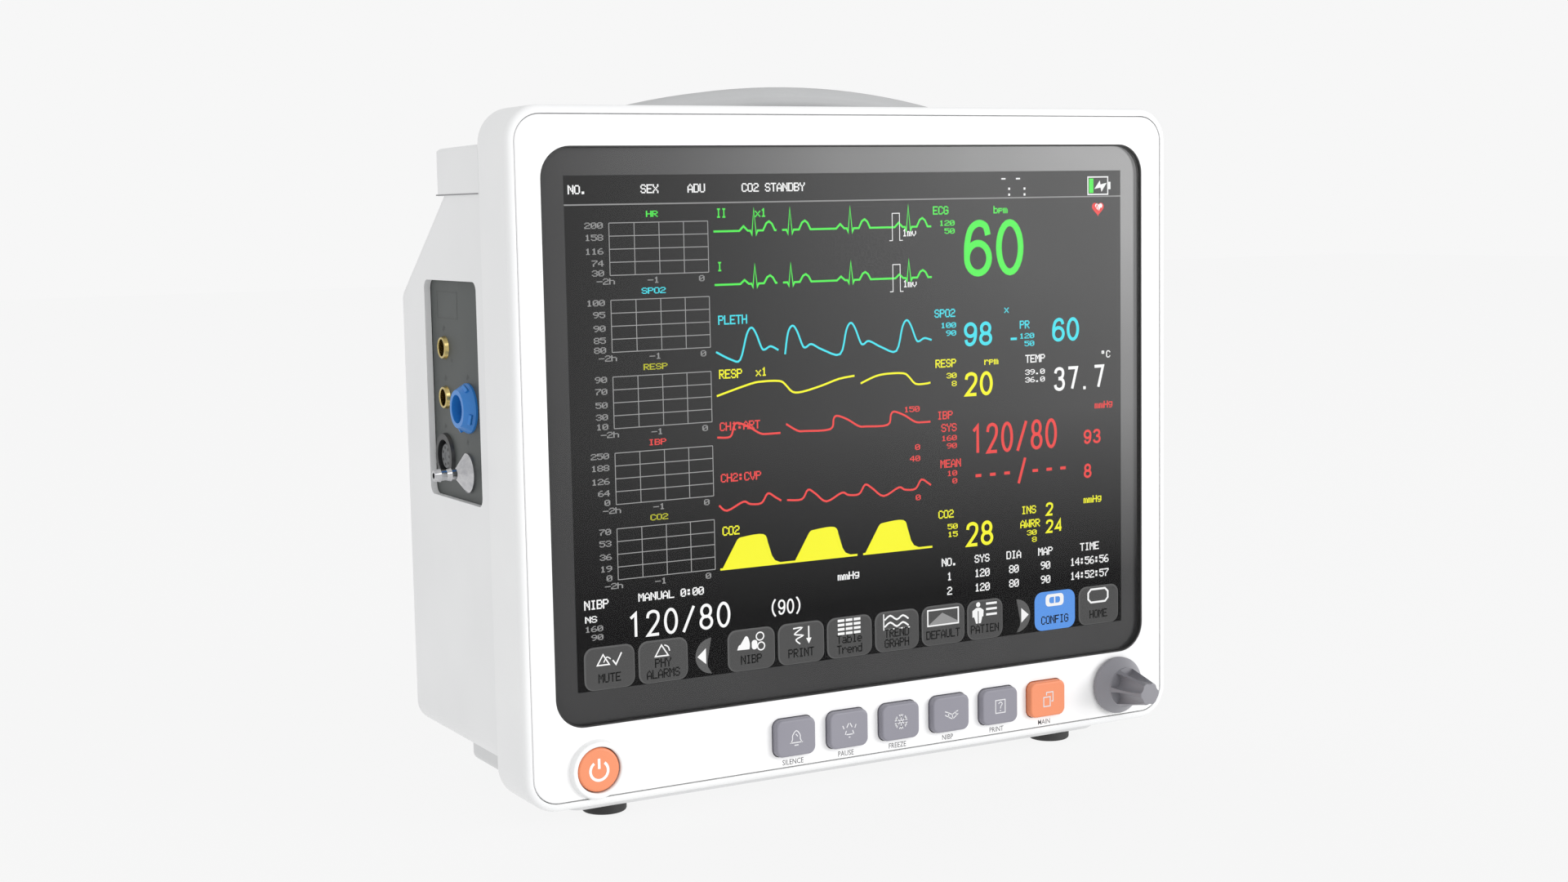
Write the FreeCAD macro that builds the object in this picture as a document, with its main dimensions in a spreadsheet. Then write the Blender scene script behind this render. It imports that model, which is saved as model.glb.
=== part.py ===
import FreeCAD, Part
import Sketcher
import math
import os

# A bedside patient monitor with a 12.1 inch screen, standing on four feet.
#
# Design frame, in millimetres: X to the right as the nurse faces the screen, Y from the front
# plate (Y = 0) to the back, Z up from the table. The model is then moved so that its origin is at
# the centre of the bottom of its bounding box.

document = FreeCAD.newDocument("patient_monitor")

# ---------------------------------------------------------------------------------------------
# Driving dimensions
# ---------------------------------------------------------------------------------------------

dimensions = {
    # front housing, the deep white ring that carries the screen
    "front_width": 290, "front_height": 253, "front_lift": 9.3, "front_depth": 27,
    "front_corner": 13, "front_edge": 2.6, "back_edge": 0.8, "wall": 2.5,
    # white front plate, set in the ring
    "plate_margin": 3, "plate_thick": 2.2, "plate_edge": 0.6, "seam_gap": 0.35,
    # window in the plate, with its gasket and glass
    "window_width": 264.7, "window_height": 208.8, "window_centre": 143.5,
    "window_corner": 11.5, "gasket_side": 0.5, "gasket_ledge": 5, "gasket_back": 1,
    "glass_thick": 1.8, "glass_recess": 0.8, "slip": 0.05,
    # display module and the steel frame that holds it
    "screen_offset": -1, "screen_centre": 144.8, "screen_width": 246, "screen_height": 186,
    "module_width": 276, "module_height": 209, "module_depth": 8.5, "screen_sink": 0.6,
    "bracket_thick": 1.2, "bracket_rim": 16,
    # six keys in a row
    "key_width": 17.2, "key_height": 14.4, "key_corner": 3, "key_edge": 0.9, "key_proud": 3,
    "key_pitch": 23.48, "key_first": -35.5, "key_centre": 24.5,
    "key_gap": 0.35, "key_lip": 1.5, "lip_thick": 1.2, "lip_gap": 0.3, "stem_radius": 2,
    "stem_length": 1.2,
    # tact switches and their boards
    "switch_side": 6, "switch_body": 3.5, "plunger_radius": 1.7, "plunger_reach": 0.4,
    "stem_gap": 1.2, "board_thick": 1.6, "key_board_rim": 9, "key_board_height": 21,
    # power button and its ring
    "power_across": -116.8, "power_centre": 23.2, "ring_radius": 11.2, "ring_proud": 2.2,
    "ring_neck": 9.7, "ring_taper": 0.8, "button_radius": 8.2, "button_gap": 0.35, "button_proud": 1.5,
    "button_lip": 1.4, "ring_round": 0.7, "power_board_side": 20,
    # rotary knob that can also be pressed
    "knob_across": 118.2, "knob_centre": 25.7, "knob_radius": 11.7, "knob_reach": 23,
    "knob_gap": 1.1, "knob_rim": 1.6, "knob_dome": 4.2, "knob_waist": 8.2, "knob_tip": 4.6,
    "flute_radius": 3.4, "flute_count": 6, "knob_well": 7.6, "knob_well_depth": 4.2,
    "shaft_radius": 3, "shaft_grip": 12, "shaft_fit": 0.05, "knob_travel": 0.8,
    "bushing_radius": 4.5, "bushing_proud": 2.6, "nut_radius": 6.8, "nut_thick": 2,
    "encoder_side": 13, "encoder_depth": 7, "plunger_thick": 1,
    # rear housing, narrower than the ring by a small step
    "housing_depth": 121, "housing_step": 0.8, "housing_bottom": 22, "housing_top": 231.5,
    "shoulder_end": 73.5, "slant_foot": 195.6, "housing_edge": 8, "flange_gap": 0.2,
    # top cover with two shoulders, and the arched carry handle between them
    "cover_height": 18, "cover_valley": 4, "cover_overhang": 0.6, "shoulder_width": 31,
    "shoulder_slope": 12, "shoulder_round": 2, "cover_round": 9, "handle_peak": 272.9, "handle_radius": 311,
    "handle_thick": 10, "handle_depth": 20, "handle_round": 4.2, "handle_centre": 66,
    "handle_span": 262, "handle_slip": 0.15,
    # base pan and feet
    "base_width": 244, "base_front": 15.5, "base_back": 118, "base_bottom": 3.5,
    "base_corner": 7, "base_edge": 3, "foot_radius": 8.5, "foot_across": 206,
    "foot_front": 26, "foot_back": 107, "foot_edge": 1, "peg_radius": 2.4, "peg_length": 5,
    "insert_across": 100, "insert_along": 50, "insert_middle": 68, "insert_bore": 2,
    "insert_radius": 3.4, "insert_length": 9,
    # side recess with the patient connectors
    "recess_front": 35, "recess_back": 89.6, "recess_low": 117.3, "recess_high": 200,
    "recess_corner": 3.5, "panel_sink": 2.7, "panel_thick": 2, "panel_rim": 4,
    "jack_along": 76.5, "jack_high": 174.2, "jack_low": 155.2, "jack_radius": 4.5,
    "jack_proud": 1.6, "jack_neck": 3.9, "jack_bore": 3.2, "jack_length": 14,
    "ecg_along": 53, "ecg_height": 152.6, "ecg_base": 9.4, "ecg_front": 7.1, "ecg_bore": 5.35,
    "ecg_proud": 4.8, "ecg_depth": 16, "ecg_core": 6, "ecg_pins": 6, "ecg_pin_circle": 3,
    "core_seat": 0.4, "core_end": 1.5,
    "probe_along": 78, "probe_height": 132.5, "probe_radius": 9, "probe_bore": 6.4,
    "probe_proud": 1.4, "probe_depth": 14, "probe_core": 7, "pin_radius": 0.5,
    "probe_pins": 7, "probe_pin_circle": 3.8, "probe_wall": 1,
    "nozzle_along": 55, "nozzle_height": 128.1, "nozzle_base": 7.5, "nozzle_cone": 4.5,
    "nozzle_waist": 2.9, "nozzle_reach": 14, "nozzle_stem": 2, "nozzle_barb": 2.5,
    "nozzle_neck": 4, "nozzle_bore": 1.1, "nozzle_tail": 12,
    # chart recorder in the right side
    "recorder_front": 44, "recorder_back": 104, "recorder_low": 72, "recorder_high": 142,
    "recorder_depth": 52, "recorder_wall": 2, "door_thick": 3, "door_gap": 0.4,
    "door_barrel": 3, "door_pin_radius": 1.25, "roll_radius": 22, "roll_width": 50,
    "roll_core": 6, "platen_radius": 5, "platen_shaft": 2, "gear_teeth": 28,
    "pinion_teeth": 20, "gear_module": 0.5, "gear_width": 3, "motor_radius": 6,
    "motor_length": 20, "head_thick": 3, "head_height": 12,
    "recorder_room": 3, "paper_slit": 1.6, "pinion_shaft": 1,
    "tooth_reach": 0.7, "tooth_root": 0.8, "tooth_crest": 0.35,
    # back: mains inlet, fuses, earth stud, network port, battery cover
    "rear_row": 46, "inlet_across": -70, "inlet_width": 27, "inlet_height": 20,
    "inlet_flange": 48, "inlet_cavity": 2.2, "inlet_depth": 24, "blade_sink": 5,
    "blade_thick": 2, "blade_pitch": 7, "fuse_slot": 1.2, "stud_nut": 5.5, "stud_edge": 0.6,
    "port_wall": 1.3, "port_proud": 0.5, "cover_corner": 1.5, "grip_depth": 1,
    "grip_length": 30, "grip_round": 0.8, "grip_pitch": 4,
    "fuse_across": -30, "fuse_radius": 6.5, "fuse_pitch": 20, "fuse_proud": 3,
    "stud_across": -112, "stud_radius": 3, "stud_reach": 9, "port_across": 10,
    "port_width": 16, "port_height": 14, "port_depth": 18,
    "bay_across": 78, "bay_centre": 50, "bay_width": 92, "bay_height": 36, "bay_depth": 30,
    "cover_fit": 0.3, "slot_width": 3, "slot_length": 34, "slot_pitch": 7,
    "slot_count": 7, "slot_centre": 162, "slot_across": -78,
    # inside
    "chassis_front": 33, "chassis_thick": 1.5, "chassis_width": 268, "chassis_low": 28,
    "chassis_high": 222, "standoff_radius": 3, "standoff_length": 6, "main_width": 150,
    "main_height": 110, "main_centre": 168, "measure_width": 88, "measure_height": 70,
    "measure_centre": 80, "supply_height": 66, "supply_centre": 92,
    "pump_radius": 13.5, "pump_length": 44, "valve_side": 16, "speaker_radius": 24,
    "speaker_depth": 14, "hose_radius": 2.6, "hose_wall": 0.9,
    # fasteners
    "screw_radius": 1.5, "screw_head": 2.8, "head_height_small": 1.8, "screw_length": 9,
    "boss_radius": 3.6, "boss_low_across": 268, "boss_low": 18.4, "boss_high_across": 240,
    "boss_high": 254.6,
}

sheet = document.addObject("Spreadsheet::Sheet", "Sizes")
for row, (name, number) in enumerate(dimensions.items(), start=1):
    sheet.set(f"A{row}", name)
    sheet.set(f"B{row}", str(number))
    sheet.setAlias(f"B{row}", name)
document.recompute()


class Rule:
    """A size worked out from the sheet: the text FreeCAD recomputes, and its value now."""

    def __init__(self, text, value):
        self.text = text
        self.value = value

    def join(self, sign, other, value):
        return Rule(f"({self.text} {sign} {other.text})", value)

    def __add__(self, other):
        other = rule(other)
        return self.join("+", other, self.value + other.value)

    def __sub__(self, other):
        other = rule(other)
        return self.join("-", other, self.value - other.value)

    def __mul__(self, other):
        other = rule(other)
        return self.join("*", other, self.value * other.value)

    def __truediv__(self, other):
        other = rule(other)
        return self.join("/", other, self.value / other.value)

    def __neg__(self):
        return rule(0) - self

    def __radd__(self, other):
        return rule(other) + self

    def __rsub__(self, other):
        return rule(other) - self

    def __rmul__(self, other):
        return rule(other) * self


def rule(size):
    return size if isinstance(size, Rule) else Rule(repr(float(size)), float(size))


class Sizes:
    """Every driving dimension as a rule, so that size.wall is the wall."""


size = Sizes()
for name, number in dimensions.items():
    setattr(size, name, Rule(f"Sizes.{name}", float(number)))

# The nozzle stands out of the left side and the knob and the earth stud out of the front and back,
# so the middle of the bounding box is a little off the middle of the housing.
housing_width = size.front_width - 2 * size.housing_step
side_reach = size.nozzle_reach - size.panel_sink - size.housing_step
middle_x = side_reach / -2
middle_y = (size.housing_depth + size.stud_reach - size.knob_reach) / 2

# ---------------------------------------------------------------------------------------------
# Building blocks
# ---------------------------------------------------------------------------------------------

nodes = []
# plane: role, +1 where its normal points along the axis that it looks down, the other two axes
planes = {"XY": ("XY_Plane", 1), "XZ": ("XZ_Plane", -1), "YZ": ("YZ_Plane", 1)}
turns = {"Z": FreeCAD.Rotation(), "Y": FreeCAD.Rotation(FreeCAD.Vector(1, 0, 0), -90),
         "X": FreeCAD.Rotation(FreeCAD.Vector(0, 1, 0), 90)}


def bind(item, target, amount):
    amount = rule(amount)
    item.setExpression(target, amount.text)


def place(item, at, axis="Z"):
    x, y, z = (rule(a) for a in at)
    item.Placement = FreeCAD.Placement(FreeCAD.Vector(), turns[axis])
    bind(item, "Placement.Base.x", x - middle_x)
    bind(item, "Placement.Base.y", y - middle_y)
    bind(item, "Placement.Base.z", z)


def node(item, name):
    item.Label = name
    nodes.append(item)
    return item


def body(name, at=(0, 0, 0)):
    made = document.addObject("PartDesign::Body", name)
    place(made, at)
    return made


def sketch_on(made, plane, start=0):
    role, way = planes[plane]
    base = next(f for f in made.Origin.OriginFeatures if f.Role == role)
    sketch = made.newObject("Sketcher::SketchObject", made.Name + "_sketch")
    sketch.AttachmentSupport = (base, [""])
    sketch.MapMode = "FlatFace"
    bind(sketch, "AttachmentOffset.Base.z", way * rule(start))
    return sketch


def pin_point(sketch, geometry, point, x, y):
    for kind, amount in (("DistanceX", rule(x)), ("DistanceY", rule(y))):
        at = sketch.addConstraint(Sketcher.Constraint(kind, -1, 1, geometry, point, amount.value))
        bind(sketch, f"Constraints[{at}]", amount)


def polygon(sketch, corners):
    corners = [(rule(x), rule(y)) for x, y in corners]
    first = sketch.GeometryCount
    count = len(corners)
    vectors = [FreeCAD.Vector(x.value, y.value, 0) for x, y in corners]
    for i in range(count):
        sketch.addGeometry(Part.LineSegment(vectors[i], vectors[(i + 1) % count]), False)
    for i in range(count):
        sketch.addConstraint(
            Sketcher.Constraint("Coincident", first + i, 2, first + (i + 1) % count, 1))
        pin_point(sketch, first + i, 1, *corners[i])
    return sketch


def circle(sketch, x, y, radius):
    x, y, radius = rule(x), rule(y), rule(radius)
    shape = Part.Circle(FreeCAD.Vector(x.value, y.value, 0), FreeCAD.Vector(0, 0, 1), radius.value)
    at = sketch.addGeometry(shape, False)
    pin_point(sketch, at, 3, x, y)
    held = sketch.addConstraint(Sketcher.Constraint("Radius", at, radius.value))
    bind(sketch, f"Constraints[{held}]", radius)
    return sketch


def rounded(sketch, width, height, radius, x=0, y=0):
    """A rectangle with round corners, its four arcs pinned by centre and start."""
    x, y, radius = rule(x), rule(y), rule(radius)
    reach_x = rule(width) / 2 - radius
    reach_y = rule(height) / 2 - radius
    first = sketch.GeometryCount
    signs = [(1, 1), (-1, 1), (-1, -1), (1, -1)]
    ends = []
    for turn, (sx, sy) in enumerate(signs):
        cx = x + sx * reach_x
        cy = y + sy * reach_y
        centre = FreeCAD.Vector(cx.value, cy.value, 0)
        ring = Part.Circle(centre, FreeCAD.Vector(0, 0, 1), radius.value)
        start = turn * math.pi / 2
        at = sketch.addGeometry(Part.ArcOfCircle(ring, start, start + math.pi / 2), False)
        pin_point(sketch, at, 3, cx, cy)
        dx, dy = round(math.cos(start)), round(math.sin(start))
        pin_point(sketch, at, 1, cx + dx * radius, cy + dy * radius)
        line_up = "Vertical" if dx else "Horizontal"
        sketch.addConstraint(Sketcher.Constraint(line_up, at, 3, at, 2))
        ends.append((FreeCAD.Vector(cx.value - dy * radius.value, cy.value + dx * radius.value, 0),
                     FreeCAD.Vector(cx.value + dx * radius.value, cy.value + dy * radius.value, 0)))
    for turn in range(4):
        line = Part.LineSegment(ends[turn][0], ends[(turn + 1) % 4][1])
        at = sketch.addGeometry(line, False)
        sketch.addConstraint(Sketcher.Constraint("Coincident", at, 1, first + turn, 2))
        sketch.addConstraint(Sketcher.Constraint("Coincident", at, 2, first + (turn + 1) % 4, 1))
    return sketch


def pad(made, sketch, length, middle=False):
    """Material from the sketch along the plane's positive axis, or half each way."""
    feature = made.newObject("PartDesign::Pad", made.Name + "_pad")
    feature.Profile = sketch
    bind(feature, "Length", length)
    feature.Midplane = middle
    feature.Reversed = "XZ" in sketch.AttachmentSupport[0][0].Role and not middle
    made.Tip = feature
    return feature


def pocket(made, sketch, length, middle=False):
    """A cut from the sketch along the plane's positive axis, checked to remove material."""
    document.recompute()
    before = made.Tip.Shape.Volume
    feature = made.newObject("PartDesign::Pocket", made.Name + "_pocket")
    feature.Profile = sketch
    bind(feature, "Length", length)
    feature.Midplane = middle
    feature.Reversed = "XZ" not in sketch.AttachmentSupport[0][0].Role and not middle
    made.Tip = feature
    document.recompute()
    if feature.Shape.Volume > before - 0.01:
        raise RuntimeError(f"{feature.Name} removes nothing")
    return feature


def fillet(made, radius, choose):
    """Rounds the edges of the body's last feature that choose() accepts."""
    document.recompute()
    base = made.Tip
    picked = [f"Edge{i}" for i, edge in enumerate(base.Shape.Edges, start=1) if choose(edge)]
    if not picked:
        raise RuntimeError(f"no edge to round on {made.Name}")
    feature = made.newObject("PartDesign::Fillet", made.Name + "_fillet")
    feature.Base = (base, picked)
    bind(feature, "Radius", radius)
    made.Tip = feature
    return feature


def turned(made, axis, profile):
    """A revolved solid: profile corners are (along the axis, radius)."""
    plane = "YZ" if axis == "Y" else "XZ"
    corners = profile if axis != "Z" else [(r, a) for a, r in profile]
    sketch = polygon(sketch_on(made, plane), corners)
    feature = made.newObject("PartDesign::Revolution", made.Name + "_turned")
    feature.Profile = sketch
    feature.ReferenceAxis = (sketch, ["V_Axis" if axis == "Z" else "H_Axis"])
    feature.Angle = 360
    made.Tip = feature
    return feature


def box(name, lengths, at):
    made = document.addObject("Part::Box", name)
    for side, length in zip(("Length", "Width", "Height"), lengths):
        bind(made, side, length)
    place(made, at)
    return made


def block(name, x, y, z):
    """A box from its low and high limits along each axis."""
    low = [rule(a[0]) for a in (x, y, z)]
    lengths = [rule(a[1]) - rule(a[0]) for a in (x, y, z)]
    return box(name, lengths, low)


def rod(name, axis, radius, at, length):
    made = document.addObject("Part::Cylinder", name)
    bind(made, "Radius", radius)
    bind(made, "Height", length)
    place(made, at, axis)
    return made


def fuse(name, pieces):
    made = document.addObject("Part::MultiFuse", name)
    made.Shapes = pieces
    made.Refine = True
    return made


def group(name, pieces):
    """Separate solids kept together in one piece of the list."""
    made = document.addObject("Part::Compound", name)
    made.Links = pieces
    return made


def cut(name, base, tools):
    made = document.addObject("Part::Cut", name)
    made.Base = base
    made.Tool = tools[0] if len(tools) == 1 else fuse(name + "_tools", tools)
    return made


def common(name, pieces):
    made = document.addObject("Part::MultiCommon", name)
    made.Shapes = pieces
    return made


def runs_along(axis, edge):
    """Whether an edge is a straight one along an axis."""
    if len(edge.Vertexes) != 2:
        return False
    step = edge.Vertexes[1].Point - edge.Vertexes[0].Point
    across = sum(abs(step["XYZ".index(other)]) for other in "XYZ" if other != axis)
    return across < 0.01


def flat_at(axis, level):
    """Chooses edges that lie wholly at one level along an axis."""
    index = "XYZ".index(axis)

    def choose(edge):
        return all(abs(v.Point[index] - level.value) < 0.01 for v in edge.Vertexes)
    return choose


# ---------------------------------------------------------------------------------------------
# Levels and places that several pieces share
# ---------------------------------------------------------------------------------------------

front_middle = size.front_lift + size.front_height / 2
flange_back = size.plate_thick + size.wall          # back of the ring's inner flange
key_places = [size.key_first + i * size.key_pitch for i in range(6)]
key_names = ["silence", "pause", "freeze", "cuff", "print", "menu"]
left_side = housing_width / -2
right_side = housing_width / 2
panel_face = left_side + size.panel_sink            # outer face of the connector panel
switch_top = flange_back + size.lip_gap + size.lip_thick + size.stem_length + size.stem_gap
board_front = switch_top + size.plunger_reach + size.switch_body
cover_width = housing_width + 2 * size.cover_overhang
arch_centre = size.handle_peak - size.handle_radius
foot_places = [(side * size.foot_across / 2, along) for side in (-1, 1)
               for along in (size.foot_front, size.foot_back)]
ring_screws = [(side * across / 2, height) for side in (-1, 1)
               for across, height in ((size.boss_low_across, size.boss_low),
                                      (size.boss_high_across, size.boss_high))]

# ---------------------------------------------------------------------------------------------
# Front housing: the ring, its plate, gasket, glass and display module
# ---------------------------------------------------------------------------------------------


def make_front_housing():
    made = body("front_housing_body", (0, 0, front_middle))
    outline = rounded(sketch_on(made, "XZ"), size.front_width, size.front_height, size.front_corner)
    pad(made, outline, size.front_depth)
    fillet(made, size.front_edge, flat_at("Y", rule(0)))
    fillet(made, size.back_edge, flat_at("Y", size.front_depth))
    seat = rounded(sketch_on(made, "XZ"), size.front_width - 2 * size.plate_margin,
                   size.front_height - 2 * size.plate_margin, size.front_corner - size.plate_margin)
    pocket(made, seat, size.plate_thick)
    inside = rounded(sketch_on(made, "XZ", flange_back), size.front_width - 2 * size.wall,
                     size.front_height - 2 * size.wall, size.front_corner - size.wall)
    pocket(made, inside, size.front_depth)
    holes = sketch_on(made, "XZ")
    cut_front_holes(holes, size.bushing_radius + size.key_gap)
    pocket(made, holes, flange_back + size.wall)
    bosses = sketch_on(made, "XZ", flange_back)
    for across, height in ring_screws:
        circle(bosses, across, height - front_middle, size.boss_radius)
    pad(made, bosses, size.front_depth - size.wall - size.flange_gap - flange_back)
    pilots = sketch_on(made, "XZ", flange_back + size.wall)
    for across, height in ring_screws:
        circle(pilots, across, height - front_middle, size.screw_radius)
    pocket(made, pilots, size.front_depth)
    return node(made, "front_housing")


def cut_front_holes(sketch, knob_hole):
    """The window, keys, power button and knob, through the plate and the flange behind it."""
    rounded(sketch, size.window_width, size.window_height, size.window_corner,
            0, size.window_centre - front_middle)
    for across in key_places:
        rounded(sketch, size.key_width + 2 * size.key_gap, size.key_height + 2 * size.key_gap,
                size.key_corner + size.key_gap, across, size.key_centre - front_middle)
    circle(sketch, size.power_across, size.power_centre - front_middle, size.ring_neck + size.slip)
    circle(sketch, size.knob_across, size.knob_centre - front_middle, knob_hole)


def make_face_plate():
    made = body("face_plate_body", (0, 0, front_middle))
    inset = size.plate_margin + size.seam_gap
    outline = rounded(sketch_on(made, "XZ"), size.front_width - 2 * inset,
                      size.front_height - 2 * inset, size.front_corner - inset)
    pad(made, outline, size.plate_thick)
    fillet(made, size.plate_edge, flat_at("Y", rule(0)))
    holes = sketch_on(made, "XZ")
    cut_front_holes(holes, size.bushing_radius + size.key_gap)
    pocket(made, holes, flange_back)
    return node(made, "face_plate")


def make_window():
    """The glass lies in a black rubber gasket with a ledge behind it."""
    made = body("gasket_body", (0, 0, size.window_centre))
    width = size.window_width - 2 * size.slip
    height = size.window_height - 2 * size.slip
    start = size.plate_edge / 2
    back = size.glass_recess + size.glass_thick
    outline = rounded(sketch_on(made, "XZ", start), width, height, size.window_corner)
    pad(made, outline, back + size.gasket_back - start)
    bed = rounded(sketch_on(made, "XZ", start), width - 2 * size.gasket_side,
                  height - 2 * size.gasket_side, size.window_corner - size.gasket_side)
    pocket(made, bed, back - start)
    hole = rounded(sketch_on(made, "XZ"), width - 2 * size.gasket_ledge,
                   height - 2 * size.gasket_ledge, size.window_corner - size.gasket_ledge)
    pocket(made, hole, flange_back + size.wall)
    node(made, "window_gasket")

    glass = body("glass_body", (0, 0, size.window_centre))
    pane = rounded(sketch_on(glass, "XZ", size.glass_recess), width - 2 * size.gasket_side,
                   height - 2 * size.gasket_side, size.window_corner - size.gasket_side)
    pad(glass, pane, size.glass_thick)
    return node(glass, "display_glass")


def make_display():
    front = flange_back + size.slip
    back = front + size.module_depth
    centre = (size.screen_offset, 0, size.screen_centre)
    made = body("module_body", centre)
    case = rounded(sketch_on(made, "XZ", front), size.module_width, size.module_height, 2)
    pad(made, case, size.module_depth)
    face = rounded(sketch_on(made, "XZ", front), size.screen_width, size.screen_height, 1)
    pocket(made, face, size.screen_sink)
    node(made, "display_module")

    frame = body("bracket_body", centre)
    sheet_start = back + size.slip
    outline = rounded(sketch_on(frame, "XZ", sheet_start), size.module_width, size.module_height, 4)
    pad(frame, outline, size.bracket_thick)
    hole = rounded(sketch_on(frame, "XZ", sheet_start), size.module_width - 2 * size.bracket_rim,
                   size.module_height - 2 * size.bracket_rim, 6)
    pocket(frame, hole, size.bracket_thick + size.slip)
    return node(frame, "display_bracket")


# ---------------------------------------------------------------------------------------------
# Keys, power button, knob and what they press
# ---------------------------------------------------------------------------------------------


def make_button(name, at, outline, travel_lip, face):
    """A cap that passes through the front, with a lip behind it and a stem for its switch.

    outline(sketch, margin) draws its section, and face is how far it stands proud.
    """
    made = body(name + "_body", at)
    lip_front = flange_back + size.lip_gap
    pad(made, outline(sketch_on(made, "XZ", -face), 0), face + lip_front)
    fillet(made, size.key_edge, flat_at("Y", -face))
    pad(made, outline(sketch_on(made, "XZ", lip_front), travel_lip), size.lip_thick)
    stem = circle(sketch_on(made, "XZ", lip_front + size.lip_thick), 0, 0, size.stem_radius)
    pad(made, stem, size.stem_length)
    return node(made, name)


def key_outline(sketch, margin):
    return rounded(sketch, size.key_width + 2 * margin, size.key_height + 2 * margin, size.key_corner)


def power_outline(sketch, margin):
    return circle(sketch, 0, 0, size.button_radius + margin)


def switches(name, places, height):
    """Tact switches: a square case with a round plunger that faces the button."""
    pieces = []
    case_front = switch_top + size.plunger_reach
    for i, across in enumerate(places):
        case = block(f"{name}_case_{i}", (across - size.switch_side / 2, across + size.switch_side / 2),
                     (case_front, board_front), (height - size.switch_side / 2,
                                                 height + size.switch_side / 2))
        tip = rod(f"{name}_tip_{i}", "Y", size.plunger_radius, (across, switch_top, height),
                  size.plunger_reach + size.slip)
        pieces += [case, tip]
    return pieces


def make_keys():
    for word, across in zip(key_names, key_places):
        make_button("key_" + word, (across, 0, size.key_centre), key_outline, size.key_lip,
                    size.key_proud)
    half = size.key_board_height / 2
    board = block("key_board_plate", (key_places[0] - size.key_board_rim, key_places[-1]
                                      + size.key_board_rim),
                  (board_front, board_front + size.board_thick),
                  (size.key_centre - half, size.key_centre + half))
    parts = switches("key_switch", key_places, size.key_centre)
    node(fuse("key_board_solid", [board] + parts), "key_board")


def make_power_button():
    at = (size.power_across, 0, size.power_centre)
    ring = body("power_ring_body", at)
    inner = size.button_radius + size.button_gap
    turned(ring, "Y", [(-size.ring_proud, inner), (-size.ring_proud, size.ring_radius - size.ring_taper),
                       (0, size.ring_radius), (0, size.ring_neck), (flange_back, size.ring_neck),
                       (flange_back, inner)])
    fillet(ring, size.ring_round, flat_at("Y", -size.ring_proud))
    node(ring, "power_ring")
    make_button("power_button", at, power_outline, size.button_lip, size.button_proud)
    half = size.power_board_side / 2
    board = block("power_board_plate", (size.power_across - half, size.power_across + half),
                  (board_front, board_front + size.board_thick),
                  (size.power_centre - half / 2, size.power_centre + half))
    parts = switches("power_switch", [size.power_across], size.power_centre)
    node(fuse("power_board_solid", [board] + parts), "power_board")


def make_knob():
    """A domed foot and a tapering grip with concave flutes, hollow under the foot."""
    at = (size.knob_across, 0, size.knob_centre)
    foot = -size.knob_gap
    rim = foot - size.knob_rim
    shoulder = rim - size.knob_dome
    solid = body("knob_solid", at)
    turned(solid, "Y", [(foot, size.knob_well), (foot, size.knob_radius), (rim, size.knob_radius),
                        (shoulder, size.knob_waist), (-size.knob_reach, size.knob_tip),
                        (-size.knob_reach, 0), (foot - size.knob_well_depth, 0),
                        (foot - size.knob_well_depth, size.knob_well)])
    fillet(solid, 0.6, flat_at("Y", -size.knob_reach))
    flutes = []
    for i in range(int(size.flute_count.value)):
        turn = 2 * math.pi * (i + 0.5) / size.flute_count.value
        reach = size.knob_tip + size.flute_radius * 0.72
        across = size.knob_across + math.cos(turn) * reach
        height = size.knob_centre + math.sin(turn) * reach
        flutes.append(rod(f"knob_flute_{i}", "Y", size.flute_radius * 0.9,
                          (across, -size.knob_reach - size.wall, height),
                          size.knob_reach + size.wall + shoulder - 0.6))
    grip = rod("knob_grip", "Y", size.shaft_radius, (size.knob_across, -size.shaft_grip - foot,
                                                     size.knob_centre), size.shaft_grip)
    node(cut("knob_cut", solid, flutes + [grip]), "knob")

    back = flange_back + size.lip_gap
    tail = back + size.encoder_depth / 2
    shaft = rod("shaft_rod", "Y", size.shaft_radius,
                (size.knob_across, -size.shaft_grip - foot, size.knob_centre),
                size.shaft_grip + foot + tail)
    node(shaft, "encoder_shaft")
    plunger = rod("encoder_plunger_rod", "Y", size.shaft_radius,
                  (size.knob_across, tail + size.lip_gap, size.knob_centre), size.plunger_thick)
    node(plunger, "encoder_plunger")

    half = size.encoder_side / 2
    case = block("encoder_case", (size.knob_across - half, size.knob_across + half),
                 (back - size.lip_gap, back + size.encoder_depth),
                 (size.knob_centre - half, size.knob_centre + half))
    bushing = rod("encoder_bushing", "Y", size.bushing_radius,
                  (size.knob_across, -size.bushing_proud, size.knob_centre), size.bushing_proud + back)
    bore = rod("encoder_bore", "Y", size.shaft_radius + size.shaft_fit,
               (size.knob_across, -size.bushing_proud - 1, size.knob_centre),
               size.bushing_proud + 1 + tail + size.lip_gap + size.plunger_thick + size.knob_travel
               + size.lip_gap)
    node(cut("encoder_cut", fuse("encoder_solid", [case, bushing]), [bore]), "encoder")
    nut = rod("nut_rod", "Y", size.nut_radius, (size.knob_across, -size.nut_thick, size.knob_centre),
              size.nut_thick)
    hole = rod("nut_hole", "Y", size.bushing_radius,
               (size.knob_across, -size.nut_thick - 1, size.knob_centre), size.nut_thick + 2)
    node(cut("nut_cut", nut, [hole]), "encoder_nut")


# ---------------------------------------------------------------------------------------------
# Rear housing, top cover, handle, base pan and feet
# ---------------------------------------------------------------------------------------------


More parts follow.
